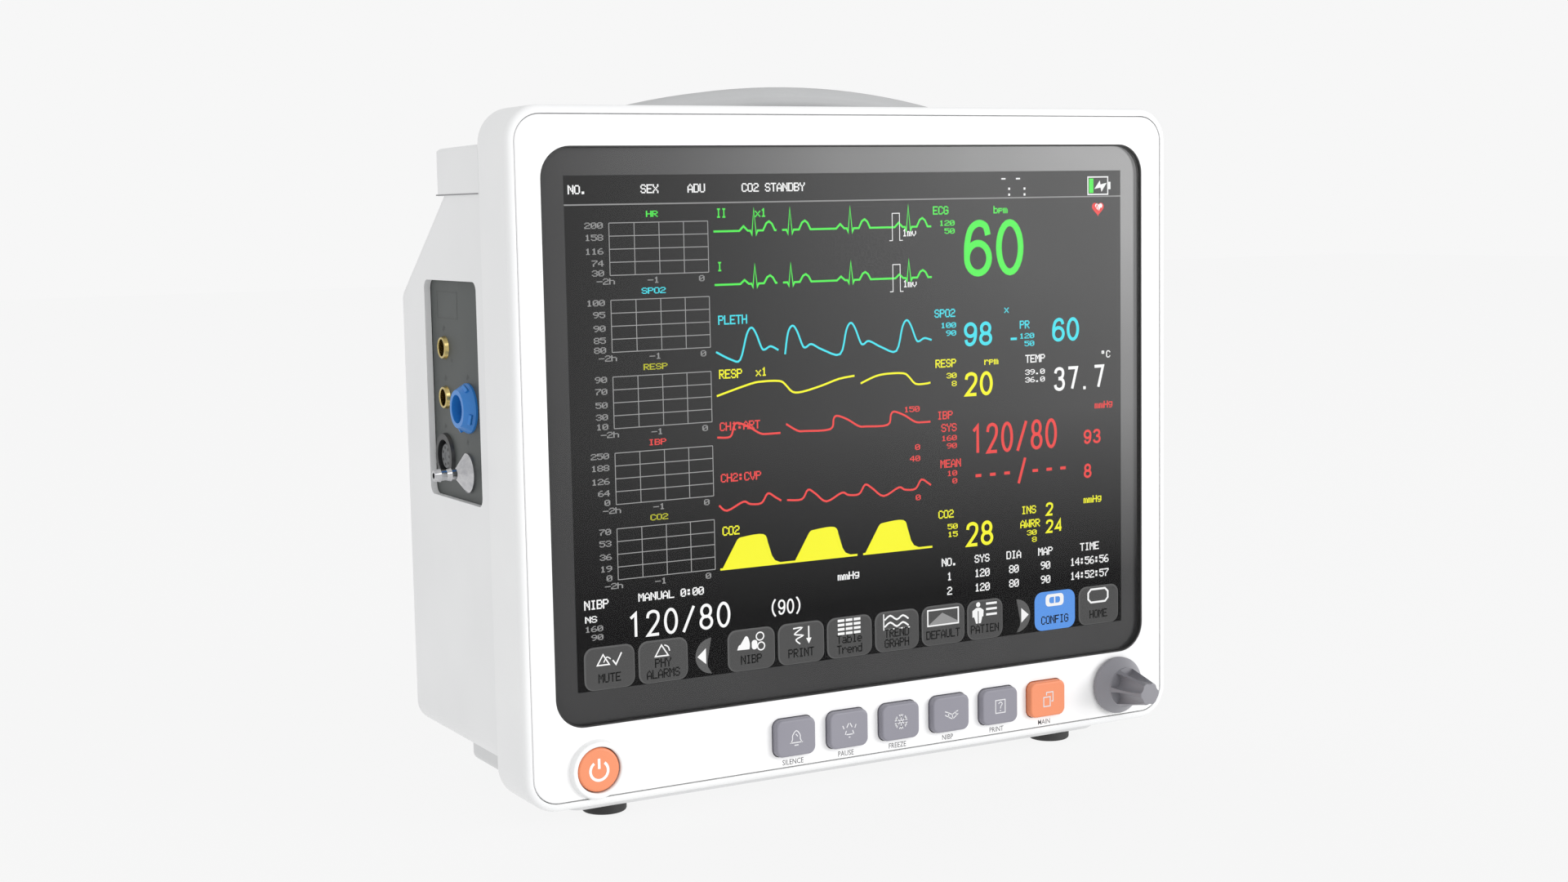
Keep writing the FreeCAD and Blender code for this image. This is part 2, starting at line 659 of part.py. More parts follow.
def make_rear_housing():
    """A shell with a slanted upper back, joined to the ring by a flat flange."""
    made = body("rear_shell")
    side = polygon(sketch_on(made, "YZ"), [
        (size.front_depth, size.housing_bottom), (size.housing_depth, size.housing_bottom),
        (size.housing_depth, size.slant_foot), (size.shoulder_end, size.housing_top),
        (size.front_depth, size.housing_top)])
    pad(made, side, housing_width, middle=True)

    def behind(edge):
        points = [v.Point for v in edge.Vertexes]
        at_joint = all(abs(p.y - size.front_depth.value) < 0.01 for p in points)
        on_top = all(abs(p.z - size.housing_top.value) < 0.01 for p in points)
        return not at_joint and not on_top
    fillet(made, size.housing_edge, behind)

    inner = body("rear_hollow")
    wall = size.wall
    inside = polygon(sketch_on(inner, "YZ"), [
        (size.front_depth - wall, size.housing_bottom + wall),
        (size.housing_depth - wall, size.housing_bottom + wall),
        (size.housing_depth - wall, size.slant_foot - wall / 2),
        (size.shoulder_end - wall / 2, size.housing_top - wall),
        (size.front_depth - wall, size.housing_top - wall)])
    pad(inner, inside, housing_width - 2 * wall, middle=True)

    def inner_back(edge):
        points = [v.Point for v in edge.Vertexes]
        at_joint = all(abs(p.y - (size.front_depth - wall).value) < 0.01 for p in points)
        on_top = all(abs(p.z - (size.housing_top - wall).value) < 0.01 for p in points)
        return not at_joint and not on_top
    fillet(inner, size.housing_edge - wall, inner_back)

    flange = body("rear_flange", (0, 0, front_middle))
    inset = wall + size.flange_gap
    outline = rounded(sketch_on(flange, "XZ", size.front_depth - wall), size.front_width - 2 * inset,
                      size.front_height - 2 * inset, size.front_corner - inset)
    pad(flange, outline, wall)
    holes = sketch_on(flange, "XZ", size.front_depth - 2 * wall)
    for across, height in ring_screws:
        circle(holes, across, height - front_middle, size.screw_radius + size.flange_gap)
    pocket(flange, holes, 3 * wall)

    whole = fuse("rear_solid", [made, flange])
    node(cut("rear_cut", whole, [inner] + side_openings() + back_openings()), "rear_housing")


def side_openings():
    """The connector recess in the left side and the recorder opening in the right side."""
    left = body("recess_hole", (left_side - size.wall, 0, 0))
    recess = rounded(sketch_on(left, "YZ"), size.recess_back - size.recess_front,
                     size.recess_high - size.recess_low, size.recess_corner,
                     (size.recess_back + size.recess_front) / 2,
                     (size.recess_high + size.recess_low) / 2)
    pad(left, recess, 3 * size.wall)
    right = block("recorder_hole", (right_side - 3 * size.wall, right_side + size.wall),
                  (size.recorder_front, size.recorder_back),
                  (size.recorder_low, size.recorder_high))
    return [left, right]


def back_openings():
    start = size.housing_depth - 2 * size.wall
    through = (start, size.housing_depth + size.wall)
    row = size.rear_row
    tools = [block("inlet_hole", (size.inlet_across - size.inlet_width / 2,
                                  size.inlet_across + size.inlet_width / 2), through,
                   (row - size.inlet_height / 2, row + size.inlet_height / 2)),
             block("port_hole", (size.port_across - size.port_width / 2,
                                 size.port_across + size.port_width / 2), through,
                   (row - size.port_height / 2, row + size.port_height / 2)),
             rod("stud_hole", "Y", size.stud_radius, (size.stud_across, start, row), 3 * size.wall),
             block("bay_hole", bay_across(size.slip), through, bay_height(size.slip))]
    for i, height in enumerate(fuse_heights()):
        tools.append(rod(f"fuse_hole_{i}", "Y", size.fuse_radius - 1,
                         (size.fuse_across, start, height), 3 * size.wall))
    for i in range(int(size.slot_count.value)):
        middle = size.slot_across + (i - (size.slot_count - 1) / 2) * size.slot_pitch
        tools.append(block(f"sound_slot_{i}", (middle - size.slot_width / 2,
                                               middle + size.slot_width / 2), through,
                           (size.slot_centre - size.slot_length / 2,
                            size.slot_centre + size.slot_length / 2)))
    return tools


def fuse_heights():
    return [size.rear_row - size.fuse_pitch / 2 + size.fuse_pitch * i for i in range(2)]


def bay_across(margin=0):
    return (size.bay_across - size.bay_width / 2 - margin, size.bay_across + size.bay_width / 2 + margin)


def bay_height(margin=0):
    return (size.bay_centre - size.bay_height / 2 - margin,
            size.bay_centre + size.bay_height / 2 + margin)


def handle_arc(name, margin):
    """The handle's bar: a rounded section turned about the centre of its arch."""
    made = body(name, (0, size.handle_centre, arch_centre))
    section = rounded(sketch_on(made, "YZ"), size.handle_depth + 2 * margin,
                      size.handle_thick + 2 * margin, size.handle_round,
                      0, size.handle_radius - size.handle_thick / 2)
    feature = made.newObject("PartDesign::Revolution", name + "_turned")
    feature.Profile = section
    feature.ReferenceAxis = (section, ["H_Axis"])
    feature.Midplane = True
    half = (size.handle_span / 2 + margin) / size.handle_radius
    feature.setExpression("Angle", f"2 * asin({half.text})")
    made.Tip = feature
    return made


def make_top_cover():
    """Two shoulders with a low valley between them: front, side and plan outlines in common."""
    base = size.housing_top
    half = cover_width / 2
    inner = half - size.shoulder_width
    foot = inner - size.shoulder_slope
    rear = size.shoulder_end + size.cover_overhang
    front = size.front_depth + size.slip
    high = base + size.cover_height
    low = base + size.cover_valley
    face = body("cover_face")
    outline = polygon(sketch_on(face, "XZ", front), [
        (-half, base), (half, base), (half, high), (inner, high), (foot, low), (-foot, low),
        (-inner, high), (-half, high)])
    pad(face, outline, rear - front)
    fillet(face, size.shoulder_slope / 3, lambda e: runs_along("Y", e) and
           abs(e.Vertexes[0].Point.z - low.value) < 0.01)
    fillet(face, size.shoulder_round, lambda e: runs_along("Y", e) and
           e.Vertexes[0].Point.z > high.value - 0.01)
    profile = body("cover_profile")
    round_size = size.cover_round
    sketch = polygon(sketch_on(profile, "YZ"), [
        (front - 1, base - 1), (rear, base - 1), (rear, high - 0.6), (front - 1, high)])
    pad(profile, sketch, cover_width + 2, middle=True)
    fillet(profile, round_size, lambda e: all(
        abs(v.Point.y - rear.value) < 0.01 and v.Point.z > high.value - 1 for v in e.Vertexes))
    plan = body("cover_plan")
    sketch = rounded(sketch_on(plan, "XY", base - 1), cover_width, 2 * (rear - front), 6, 0, front)
    pad(plan, sketch, size.cover_height + 2)
    solid = common("cover_solid", [face, profile, plan])

    wall = size.wall
    hollows = [block(f"cover_hollow_{i}", across, (front + wall, rear - 2 * wall),
                     (base - wall, high - 1.6 * wall))
               for i, across in enumerate([(-half + 2 * wall, -inner + wall),
                                           (inner - wall, half - 2 * wall)])]
    hollows.append(block("cover_under", (-inner + wall, inner - wall), (front + wall, rear - wall),
                         (base - wall, base + 1.4)))
    seat = handle_arc("handle_seat", size.handle_slip)
    seats = common("cover_seats", [seat, block("cover_seat_zone", (-half, half), (front, rear + wall),
                                               (base, high + wall))])
    node(cut("cover_cut", solid, hollows + [seats]), "top_cover")
    node(handle_arc("handle_body", 0), "carry_handle")


def make_base():
    made = body("base_body")
    bottom = size.base_bottom
    side = polygon(sketch_on(made, "YZ"), [
        (size.base_front, bottom), (size.base_back, bottom), (size.base_back, size.housing_bottom),
        (size.front_depth + size.slip, size.housing_bottom), (size.front_depth + size.slip,
                                                              size.front_lift),
        (size.base_front, size.front_lift)])
    pad(made, side, size.base_width, middle=True)
    ends = (size.base_front.value, size.base_back.value)
    fillet(made, size.base_corner, lambda e: runs_along("Z", e) and
           min(abs(e.Vertexes[0].Point.y - end) for end in ends) < 0.01)
    fillet(made, size.base_edge, flat_at("Z", bottom))
    hollow = rounded(sketch_on(made, "XY", bottom + size.wall), size.base_width - 2 * size.wall,
                     size.base_back - size.front_depth - 3 * size.wall, size.base_corner - size.wall,
                     0, (size.base_back + size.front_depth) / 2)
    pocket(made, hollow, size.housing_bottom)
    posts = sketch_on(made, "XY", bottom + size.wall - size.slip)
    for across, along in insert_places():
        circle(posts, across, along, size.insert_radius + 2)
    pad(made, posts, size.insert_length)
    holes = sketch_on(made, "XY", bottom - 1)
    for across, along in insert_places():
        circle(holes, across, along, size.insert_radius)
    pocket(made, holes, size.insert_length + 1)
    pegs = sketch_on(made, "XY", bottom - 1)
    for across, along in foot_places:
        circle(pegs, across, along, size.peg_radius)
    pocket(made, pegs, size.peg_length + 1)
    node(made, "base_pan")

    inserts = []
    for i, (across, along) in enumerate(insert_places()):
        sleeve = rod(f"insert_{i}", "Z", size.insert_radius, (across, along, bottom), size.insert_length)
        bore = rod(f"insert_bore_{i}", "Z", size.insert_bore, (across, along, bottom - 1),
                   size.insert_length + 2)
        inserts.append(cut(f"insert_cut_{i}", sleeve, [bore]))
    node(group("insert_group", inserts), "base_inserts")

    feet = []
    for i, (across, along) in enumerate(foot_places):
        foot = body(f"foot_{i}", (across, along, 0))
        turned(foot, "Z", [(0, 0), (0, size.foot_radius), (bottom, size.foot_radius),
                           (bottom, size.peg_radius), (bottom + size.peg_length, size.peg_radius),
                           (bottom + size.peg_length, 0)])
        fillet(foot, size.foot_edge, flat_at("Z", rule(0)))
        feet.append(foot)
    node(group("feet_group", feet), "feet")


def insert_places():
    return [(sx * size.insert_across / 2, size.insert_middle + sy * size.insert_along / 2)
            for sx in (-1, 1) for sy in (-1, 1)]


# ---------------------------------------------------------------------------------------------
# Connector panel in the left side
# ---------------------------------------------------------------------------------------------


def make_connectors():
    inner_face = left_side + size.wall
    made = body("panel_body", (0, 0, 0))
    sketch = rounded(sketch_on(made, "YZ", panel_face),
                     size.recess_back - size.recess_front + 2 * size.panel_rim,
                     size.recess_high - size.recess_low + 2 * size.panel_rim, size.recess_corner,
                     (size.recess_back + size.recess_front) / 2,
                     (size.recess_high + size.recess_low) / 2)
    pad(made, sketch, size.panel_thick)
    holes = sketch_on(made, "YZ", inner_face - size.wall)
    neck = size.slip
    circle(holes, size.jack_along, size.jack_high, size.jack_neck + neck)
    circle(holes, size.jack_along, size.jack_low, size.jack_neck + neck)
    circle(holes, size.ecg_along, size.ecg_height, size.ecg_front + neck)
    circle(holes, size.probe_along, size.probe_height, size.probe_bore + size.probe_wall + neck)
    circle(holes, size.nozzle_along, size.nozzle_height, size.nozzle_neck + neck)
    pocket(made, holes, 3 * size.wall)
    node(made, "connector_panel")

    jacks = []
    for i, height in enumerate((size.jack_low, size.jack_high)):
        jack = body(f"jack_{i}", (panel_face, size.jack_along, height))
        turned(jack, "X", [(-size.jack_proud, size.jack_bore), (-size.jack_proud, size.jack_radius - 0.5),
                           (0, size.jack_radius), (0, size.jack_neck),
                           (size.jack_length, size.jack_neck), (size.jack_length, 0),
                           (size.jack_length - 1, 0), (size.jack_length - 1, size.jack_bore)])
        fillet(jack, 0.4, lambda e: len(e.Vertexes) == 1 and
               abs(e.Vertexes[0].Point.x + size.jack_proud.value) < 0.01)
        jacks.append(jack)
    node(group("jack_group", jacks), "temperature_jacks")

    socket = body("ecg_body", (panel_face, size.ecg_along, size.ecg_height))
    seat = size.ecg_bore + size.core_seat
    core_start = size.ecg_depth - size.ecg_core
    turned(socket, "X", [(-size.ecg_proud, size.ecg_bore), (-size.ecg_proud, size.ecg_front),
                         (-0.8, size.ecg_base), (0, size.ecg_base), (0, size.ecg_front),
                         (size.ecg_depth, size.ecg_front), (size.ecg_depth, seat),
                         (core_start, seat), (core_start, size.ecg_bore)])
    node(socket, "ecg_socket")
    make_pin_core("ecg_core", size.ecg_along, size.ecg_height, seat, core_start,
                  size.ecg_core, size.ecg_pins, size.ecg_pin_circle)

    shell = body("probe_body", (panel_face, size.probe_along, size.probe_height))
    outside = size.probe_bore + size.probe_wall
    seat = size.probe_bore + size.core_seat
    core_start = size.probe_depth - size.probe_core - size.core_end
    turned(shell, "X", [(-size.probe_proud, size.probe_bore), (-size.probe_proud, size.probe_radius - 0.4),
                        (0, size.probe_radius), (0, outside), (size.probe_depth, outside),
                        (size.probe_depth, seat), (core_start, seat), (core_start, size.probe_bore)])
    node(shell, "probe_socket")
    make_pin_core("probe_core", size.probe_along, size.probe_height, seat, core_start,
                  size.probe_core, size.probe_pins, size.probe_pin_circle)

    nozzle = body("nozzle_body", (panel_face, size.nozzle_along, size.nozzle_height))
    cone = -size.nozzle_cone
    reach = -size.nozzle_reach
    stem, barb = size.nozzle_stem, size.nozzle_barb
    turned(nozzle, "X", [
        (reach, size.nozzle_bore), (reach, stem), (reach + 2.4, barb), (reach + 2.6, stem),
        (reach + 4.8, stem), (reach + 6.6, barb), (reach + 6.8, stem), (cone - 0.8, stem),
        (cone, size.nozzle_waist), (-1, size.nozzle_base), (0, size.nozzle_base),
        (0, size.nozzle_neck), (size.nozzle_tail, size.nozzle_neck / 2 + 1),
        (size.nozzle_tail, size.nozzle_bore)])
    node(nozzle, "cuff_nozzle")


def make_pin_core(name, along, height, bore, start, depth, pins, circle_radius):
    """The insulator at the bottom of a round socket, with small contact holes."""
    base = rod(name + "_base", "X", bore, (panel_face + start, along, height), depth)
    holes = []
    for i in range(int(pins.value)):
        turn = 2 * math.pi * i / pins.value
        holes.append(rod(f"{name}_hole_{i}", "X", size.pin_radius,
                         (panel_face + start - 1, along + circle_radius * math.cos(turn),
                          height + circle_radius * math.sin(turn)), depth / 2))
    node(cut(name + "_cut", base, holes), name)


# ---------------------------------------------------------------------------------------------
# Chart recorder behind a drop-down door in the right side
# ---------------------------------------------------------------------------------------------


def make_recorder():
    gap = size.door_gap
    wall = size.recorder_wall
    front, back = size.recorder_front + gap, size.recorder_back - gap
    low, high = size.recorder_low + gap, size.recorder_high - gap
    mouth = right_side - size.door_thick - gap
    inner = right_side - size.recorder_depth
    pivot_x = right_side - size.door_barrel
    pivot_z = low + size.door_barrel + gap
    middle = (front + back) / 2
    ear = size.door_thick
    room = size.recorder_room
    platen_x = mouth - size.platen_radius - room
    platen_z = high - wall - size.head_thick - size.platen_radius - room
    roll_x = inner + wall + size.roll_radius + room / 2
    roll_z = low + wall + size.roll_radius + room / 2

    outer = block("case_outer", (inner, mouth), (front, back), (low, high))
    bay = block("case_bay", (inner + wall, mouth + wall), (front + wall, back - wall),
                (low + wall, high - wall))
    notch = block("case_notch", (pivot_x - size.door_barrel - gap, mouth + wall),
                  (front + ear, back - ear), (low - wall, pivot_z + size.door_barrel + gap))
    ear_half = size.door_barrel - size.door_gap
    ears = [block(f"case_ear_{i}", (mouth - wall, pivot_x + ear_half), along,
                  (pivot_z - ear_half, pivot_z + ear_half))
            for i, along in enumerate([(front, front + ear - gap), (back - ear + gap, back)])]
    pin_hole = rod("case_pin_hole", "Y", size.door_pin_radius, (pivot_x, front - wall, pivot_z),
                   back - front + 2 * wall)
    shaft_hole = rod("case_shaft_hole", "Y", size.platen_shaft + size.shaft_fit,
                     (platen_x, front - wall, platen_z), back - front + 2 * wall)
    motor_x = platen_x - gear_distance()
    motor_hole = rod("case_motor_hole", "Y", size.motor_radius / 2,
                     (motor_x, front - wall, platen_z), 3 * wall)
    whole = fuse("case_solid", [cut("case_shell", outer, [bay, notch])] + ears)
    node(cut("case_cut", whole, [pin_hole, shaft_hole, motor_hole]), "recorder_case")
    pin = rod("door_pin_rod", "Y", size.door_pin_radius, (pivot_x, front + gap, pivot_z),
              back - front - 2 * gap)
    node(pin, "door_pin")

    plate = block("door_plate", (right_side - size.door_thick, right_side), (front, back),
                  (pivot_z, high))
    barrel = rod("door_barrel", "Y", size.door_barrel, (pivot_x, front + ear + gap, pivot_z),
                 back - front - 2 * ear - 2 * gap)
    bore = rod("door_bore", "Y", size.door_pin_radius + size.shaft_fit,
               (pivot_x, front - wall, pivot_z), back - front + 2 * wall)
    slit = block("door_slit", (pivot_x - wall, right_side + wall), (front + 2 * ear, back - 2 * ear),
                 (platen_z - size.paper_slit / 2, platen_z + size.paper_slit / 2))
    clear = 1.5 * ear_half + gap    # the door's edge swings past the corners of the ears
    relief = [block(f"door_relief_{i}", (mouth, right_side + wall), along,
                    (pivot_z - clear, pivot_z + clear))
              for i, along in enumerate([(front - wall, front + ear), (back - ear, back + wall)])]
    node(cut("door_cut", fuse("door_solid", [plate, barrel]), [bore, slit] + relief),
         "recorder_door")

    half = size.roll_width / 2
    paper = rod("roll_outer", "Y", size.roll_radius, (roll_x, middle - half, roll_z), size.roll_width)
    core = rod("roll_core", "Y", size.roll_core, (roll_x, middle - half - wall, roll_z),
               size.roll_width + 2 * wall)
    node(cut("roll_cut", paper, [core]), "paper_roll")

    sleeve = rod("platen_outer", "Y", size.platen_radius, (platen_x, middle - half, platen_z),
                 size.roll_width)
    hole = rod("platen_hole", "Y", size.platen_shaft, (platen_x, middle - half - wall, platen_z),
               size.roll_width + 2 * wall)
    node(cut("platen_cut", sleeve, [hole]), "platen_roller")
    gear_start = front - size.gear_width - gap
    wheel = gear("platen_wheel", size.gear_teeth, (platen_x, gear_start, platen_z), 0)
    shaft = rod("platen_rod", "Y", size.platen_shaft, (platen_x, gear_start, platen_z),
                back - gear_start)
    node(fuse("platen_gear_solid", [wheel, shaft]), "platen_gear")

    head_half = size.head_height / 2
    head_low = platen_z + size.platen_radius + gap
    node(block("head_block", (platen_x - head_half, platen_x + head_half),
               (middle - half, middle + half), (head_low, high - wall)), "print_head")

    start = front + wall
    drum = rod("motor_drum", "Y", size.motor_radius, (motor_x, start, platen_z), size.motor_length)
    nose = rod("motor_nose", "Y", size.motor_radius / 2, (motor_x, front, platen_z), 2 * wall)
    well = rod("motor_well", "Y", size.pinion_shaft + size.shaft_fit,
               (motor_x, front - wall, platen_z), size.motor_length / 2 + 2 * wall)
    node(cut("motor_cut", fuse("motor_solid", [drum, nose]), [well]), "recorder_motor")
    pinion = gear("pinion_wheel", size.pinion_teeth, (motor_x, gear_start, platen_z), 0.5)
    spindle = rod("pinion_rod", "Y", size.pinion_shaft, (motor_x, gear_start, platen_z),
                  size.gear_width + gap + size.motor_length / 2)
    node(fuse("pinion_solid", [pinion, spindle]), "motor_pinion")


def gear_distance():
    return (size.gear_teeth + size.pinion_teeth) * size.gear_module / 2


def gear(name, teeth, at, phase):
    """A spur gear about Y: a disc to the root of its teeth, and one tooth repeated round it.

    The first tooth is turned from +X by phase, a share of the angle between two teeth.
    """
    made = body(name, at)
    module = size.gear_module
    root = teeth * module / 2 - module
    tip = teeth * module / 2 + module * size.tooth_reach
    pad(made, circle(sketch_on(made, "XZ"), 0, 0, root), size.gear_width)
    turn = 2 * math.pi * phase / teeth.value
    corners = [(r * math.cos(turn) - side * math.sin(turn), r * math.sin(turn) + side * math.cos(turn))
               for r, side in ((root - module, -module * size.tooth_root),
                               (tip, -module * size.tooth_crest), (tip, module * size.tooth_crest),
                               (root - module, module * size.tooth_root))]
    sketch = polygon(sketch_on(made, "XZ"), corners)
    tooth = pad(made, sketch, size.gear_width)
    ring = made.newObject("PartDesign::PolarPattern", name + "_teeth")
    ring.Originals = [tooth]
    ring.Axis = (sketch, ["N_Axis"])
    ring.Angle = 360
    bind(ring, "Occurrences", teeth)
    made.Tip = ring
    return made


# ---------------------------------------------------------------------------------------------
# Fittings in the back
# ---------------------------------------------------------------------------------------------


def make_back_fittings():
    back = size.housing_depth
    row = size.rear_row
    x = size.inlet_across
    wall = size.inlet_cavity
    wide, tall = size.inlet_width / 2 - size.slip, size.inlet_height / 2 - size.slip
    rim = size.inlet_flange / 2
    floor = back - size.inlet_depth + 2 * wall
    mouth = back + size.plate_thick
    case = block("inlet_case", (x - wide, x + wide), (back - size.inlet_depth, mouth),
                 (row - tall, row + tall))
    plate = block("inlet_plate", (x - rim, x + rim), (back, mouth), (row - tall - wall,
                                                                    row + tall + wall))
    cavity = block("inlet_room", (x - wide + wall, x + wide - wall), (floor, mouth + wall),
                   (row - tall + wall, row + tall - wall))
    node(cut("inlet_cut", fuse("inlet_solid", [case, plate]), [cavity]), "mains_inlet")
    half = size.blade_thick / 2
    blades = [block(f"blade_{i}", (x + across - half, x + across + half),
                    (floor, mouth - size.blade_sink), (row + up - 2 * half, row + up + 2 * half))
              for i, (across, up) in enumerate([(-size.blade_pitch, -half), (rule(0), 2 * half),
                                                (size.blade_pitch, -half)])]
    node(group("blade_group", blades), "inlet_blades")

    holders = []
    x = size.fuse_across
    slot = size.fuse_slot
    for i, height in enumerate(fuse_heights()):
        cap = rod(f"fuse_cap_{i}", "Y", size.fuse_radius, (x, back, height), size.fuse_proud)
        barrel = rod(f"fuse_barrel_{i}", "Y", size.fuse_radius - slot,
                     (x, back - size.inlet_depth, height), size.inlet_depth + slot)
        groove = block(f"fuse_slot_{i}", (x - 4 * slot, x + 4 * slot),
                       (back + size.fuse_proud - slot, mouth + size.fuse_proud),
                       (height - slot / 2, height + slot / 2))
        holders.append(cut(f"fuse_cut_{i}", fuse(f"fuse_solid_{i}", [cap, barrel]), [groove]))
    node(group("fuse_group", holders), "fuse_holders")

    stud = body("stud_body", (size.stud_across, back, row))
    radius, reach, nut = size.stud_radius, size.stud_reach, size.stud_nut
    edge = size.stud_edge
    turned(stud, "Y", [(-2 * size.wall, 0), (-2 * size.wall, radius), (0, radius), (0, nut),
                       (reach / 4, nut), (reach / 4, radius - edge), (reach / 2, radius - edge),
                       (reach / 2 + edge, radius), (reach - edge, radius), (reach, radius - edge),
                       (reach, 0)])
    node(stud, "earth_stud")

    x = size.port_across
    wide, tall = size.port_width / 2 - size.slip, size.port_height / 2 - size.slip
    wall = size.port_wall
    port = block("port_case", (x - wide, x + wide), (back - size.port_depth, back + size.port_proud),
                 (row - tall, row + tall))
    deep = (back - size.port_depth + 2 * wall, mouth)
    room = block("port_room", (x - wide + wall, x + wide - wall), deep,
                 (row - tall + 2 * wall, row + tall - wall))
    key = block("port_key", (x - wide / 3, x + wide / 3), deep, (row - tall + wall, row))
    node(cut("port_cut", port, [room, key]), "network_port")


def make_battery():
    """A tray behind the cover, the battery in it, and the cover that two screws hold."""
    back = size.housing_depth
    wall = size.recorder_wall
    face = back - size.wall
    start = face - size.bay_depth
    post = size.screw_head + wall / 2
    tray = [block("tray_outer", bay_across(wall), (start - wall, face), bay_height(wall))]
    inner = block("tray_inner", bay_across(-wall), (start, back), bay_height(-wall))
    screw_places = [size.bay_across + side * cover_screw() for side in (-1, 1)]
    posts = [rod(f"tray_post_{i}", "Y", post, (across, start - wall / 2, size.bay_centre),
                 size.bay_depth + wall / 2) for i, across in enumerate(screw_places)]
    threads = [rod(f"tray_thread_{i}", "Y", size.screw_radius,
                   (across, back - size.screw_length - wall, size.bay_centre), size.screw_length + wall)
               for i, across in enumerate(screw_places)]
    hollow = cut("tray_hollow", tray[0], [inner])
    node(cut("tray_cut", fuse("tray_solid", [hollow] + posts), threads), "battery_tray")
    reach = cover_screw() - post - wall
    node(block("battery_block", (size.bay_across - reach, size.bay_across + reach),
               (start + size.slip, face - wall), bay_height(-2 * wall)), "battery_pack")

    cover = body("cover_plate_body", (size.bay_across, 0, size.bay_centre))
    outline = rounded(sketch_on(cover, "XZ", face), size.bay_width - 2 * size.cover_fit,
                      size.bay_height - 2 * size.cover_fit, size.cover_corner)
    pad(cover, outline, size.wall)
    grips = sketch_on(cover, "XZ", back - size.grip_depth)
    for i in range(3):
        rounded(grips, size.grip_length, 2 * size.grip_round, size.grip_round * 0.9,
                0, (i - 1) * size.grip_pitch)
    pocket(cover, grips, size.wall)
    holes = sketch_on(cover, "XZ", face - wall)
    for side in (-1, 1):
        circle(holes, side * cover_screw(), 0, size.screw_radius)
    pocket(cover, holes, size.wall + 2 * wall)
    sinks = sketch_on(cover, "XZ", back - size.head_height_small)
    for side in (-1, 1):
        circle(sinks, side * cover_screw(), 0, size.screw_head + size.flange_gap)
    pocket(cover, sinks, size.wall)
    node(cover, "battery_cover")


def cover_screw():
    return size.bay_width / 2 - 2 * size.screw_head


# ---------------------------------------------------------------------------------------------
# Chassis, boards, pump and speaker inside
# ---------------------------------------------------------------------------------------------


def make_inside():
    front = size.chassis_front
    back = front + size.chassis_thick
    half = size.chassis_width / 2
    bracket_back = (flange_back + 2 * size.slip + size.module_depth + size.bracket_thick)
    plate = block("chassis_plate", (-half, half), (front, back), (size.chassis_low, size.chassis_high))
    window = block("chassis_window", (-30, 30), (front - 1, back + 1), (120, 150))
    pillars = [rod(f"pillar_{i}", "Y", size.standoff_radius, (side * (half - 6), bracket_back, height),
                   front - bracket_back + 1)
               for i, (side, height) in enumerate([(-1, 60), (1, 60), (-1, 215), (1, 215)])]
    node(cut("chassis_cut", fuse("chassis_solid", [plate] + pillars), [window]), "chassis")

    start = back + size.standoff_length
    board = (start, start + size.board_thick)
    parts = (start + size.board_thick - size.slip, start + size.board_thick + 5)

    def board_with(name, across, height, chips):
        pieces = [block(name + "_plate", across, board, height)]
        for i, (x0, x1, z0, z1) in enumerate(chips):
            pieces.append(block(f"{name}_chip_{i}", (across[0] + x0, across[0] + x1), parts,
                                (height[0] + z0, height[0] + z1)))
        for i, (x, z) in enumerate([(6, 6), (-6, 6), (6, -6), (-6, -6)]):
            at_x = across[0] + x if x > 0 else across[1] + x
            at_z = height[0] + z if z > 0 else height[1] + z
            pieces.append(rod(f"{name}_post_{i}", "Y", size.standoff_radius, (at_x, back, at_z),
                              size.standoff_length + size.slip))
        return node(fuse(name + "_solid", pieces), name)

    left = -size.main_width / 2 - 5
    board_with("main_board", (left, left + size.main_width),
               (size.main_centre - size.main_height / 2, size.main_centre + size.main_height / 2),
               [(20, 48, 40, 68), (60, 78, 46, 64), (90, 130, 20, 32), (90, 130, 70, 82),
                (20, 36, 84, 96)])
    board_with("measuring_board", (left, left + size.measure_width),
               (size.measure_centre - size.measure_height / 2 - 4,
                size.measure_centre + size.measure_height / 2 - 4),
               [(10, 34, 14, 38), (42, 60, 20, 38), (20, 70, 50, 58)])
    board_with("power_supply", (left + size.measure_width + 6, right_side - size.recorder_depth - 4),
               (size.supply_centre - size.supply_height / 2 - 16,
                size.supply_centre + size.supply_height / 2 - 16),
               [(8, 30, 10, 34), (34, 48, 12, 26), (14, 60, 44, 54)])

    y = size.nozzle_along
    pump_z = size.housing_bottom + size.wall + size.pump_radius + 6
    pump_start = -half + 6
    node(rod("pump_rod", "X", size.pump_radius, (pump_start, y, pump_z), size.pump_length),
         "cuff_pump")
    side = size.valve_side
    node(block("valve_block", (pump_start, pump_start + side), (y + size.pump_radius + 6,
                                                               y + size.pump_radius + 6 + side),
               (size.housing_bottom + size.wall, size.housing_bottom + size.wall + side)),
         "release_valve")
    make_hose(panel_face + size.nozzle_tail, pump_start + 14, y, size.nozzle_height,
              pump_z + size.pump_radius)

    rim = size.housing_depth - size.wall - size.slip
    cone = rod("speaker_cone", "Y", size.speaker_radius * 0.6,
               (size.slot_across, rim - size.speaker_depth, size.slot_centre), size.speaker_depth)
    frame = rod("speaker_frame", "Y", size.speaker_radius, (size.slot_across, rim - 4,
                                                            size.slot_centre), 4)
    node(fuse("speaker_solid", [cone, frame]), "speaker")


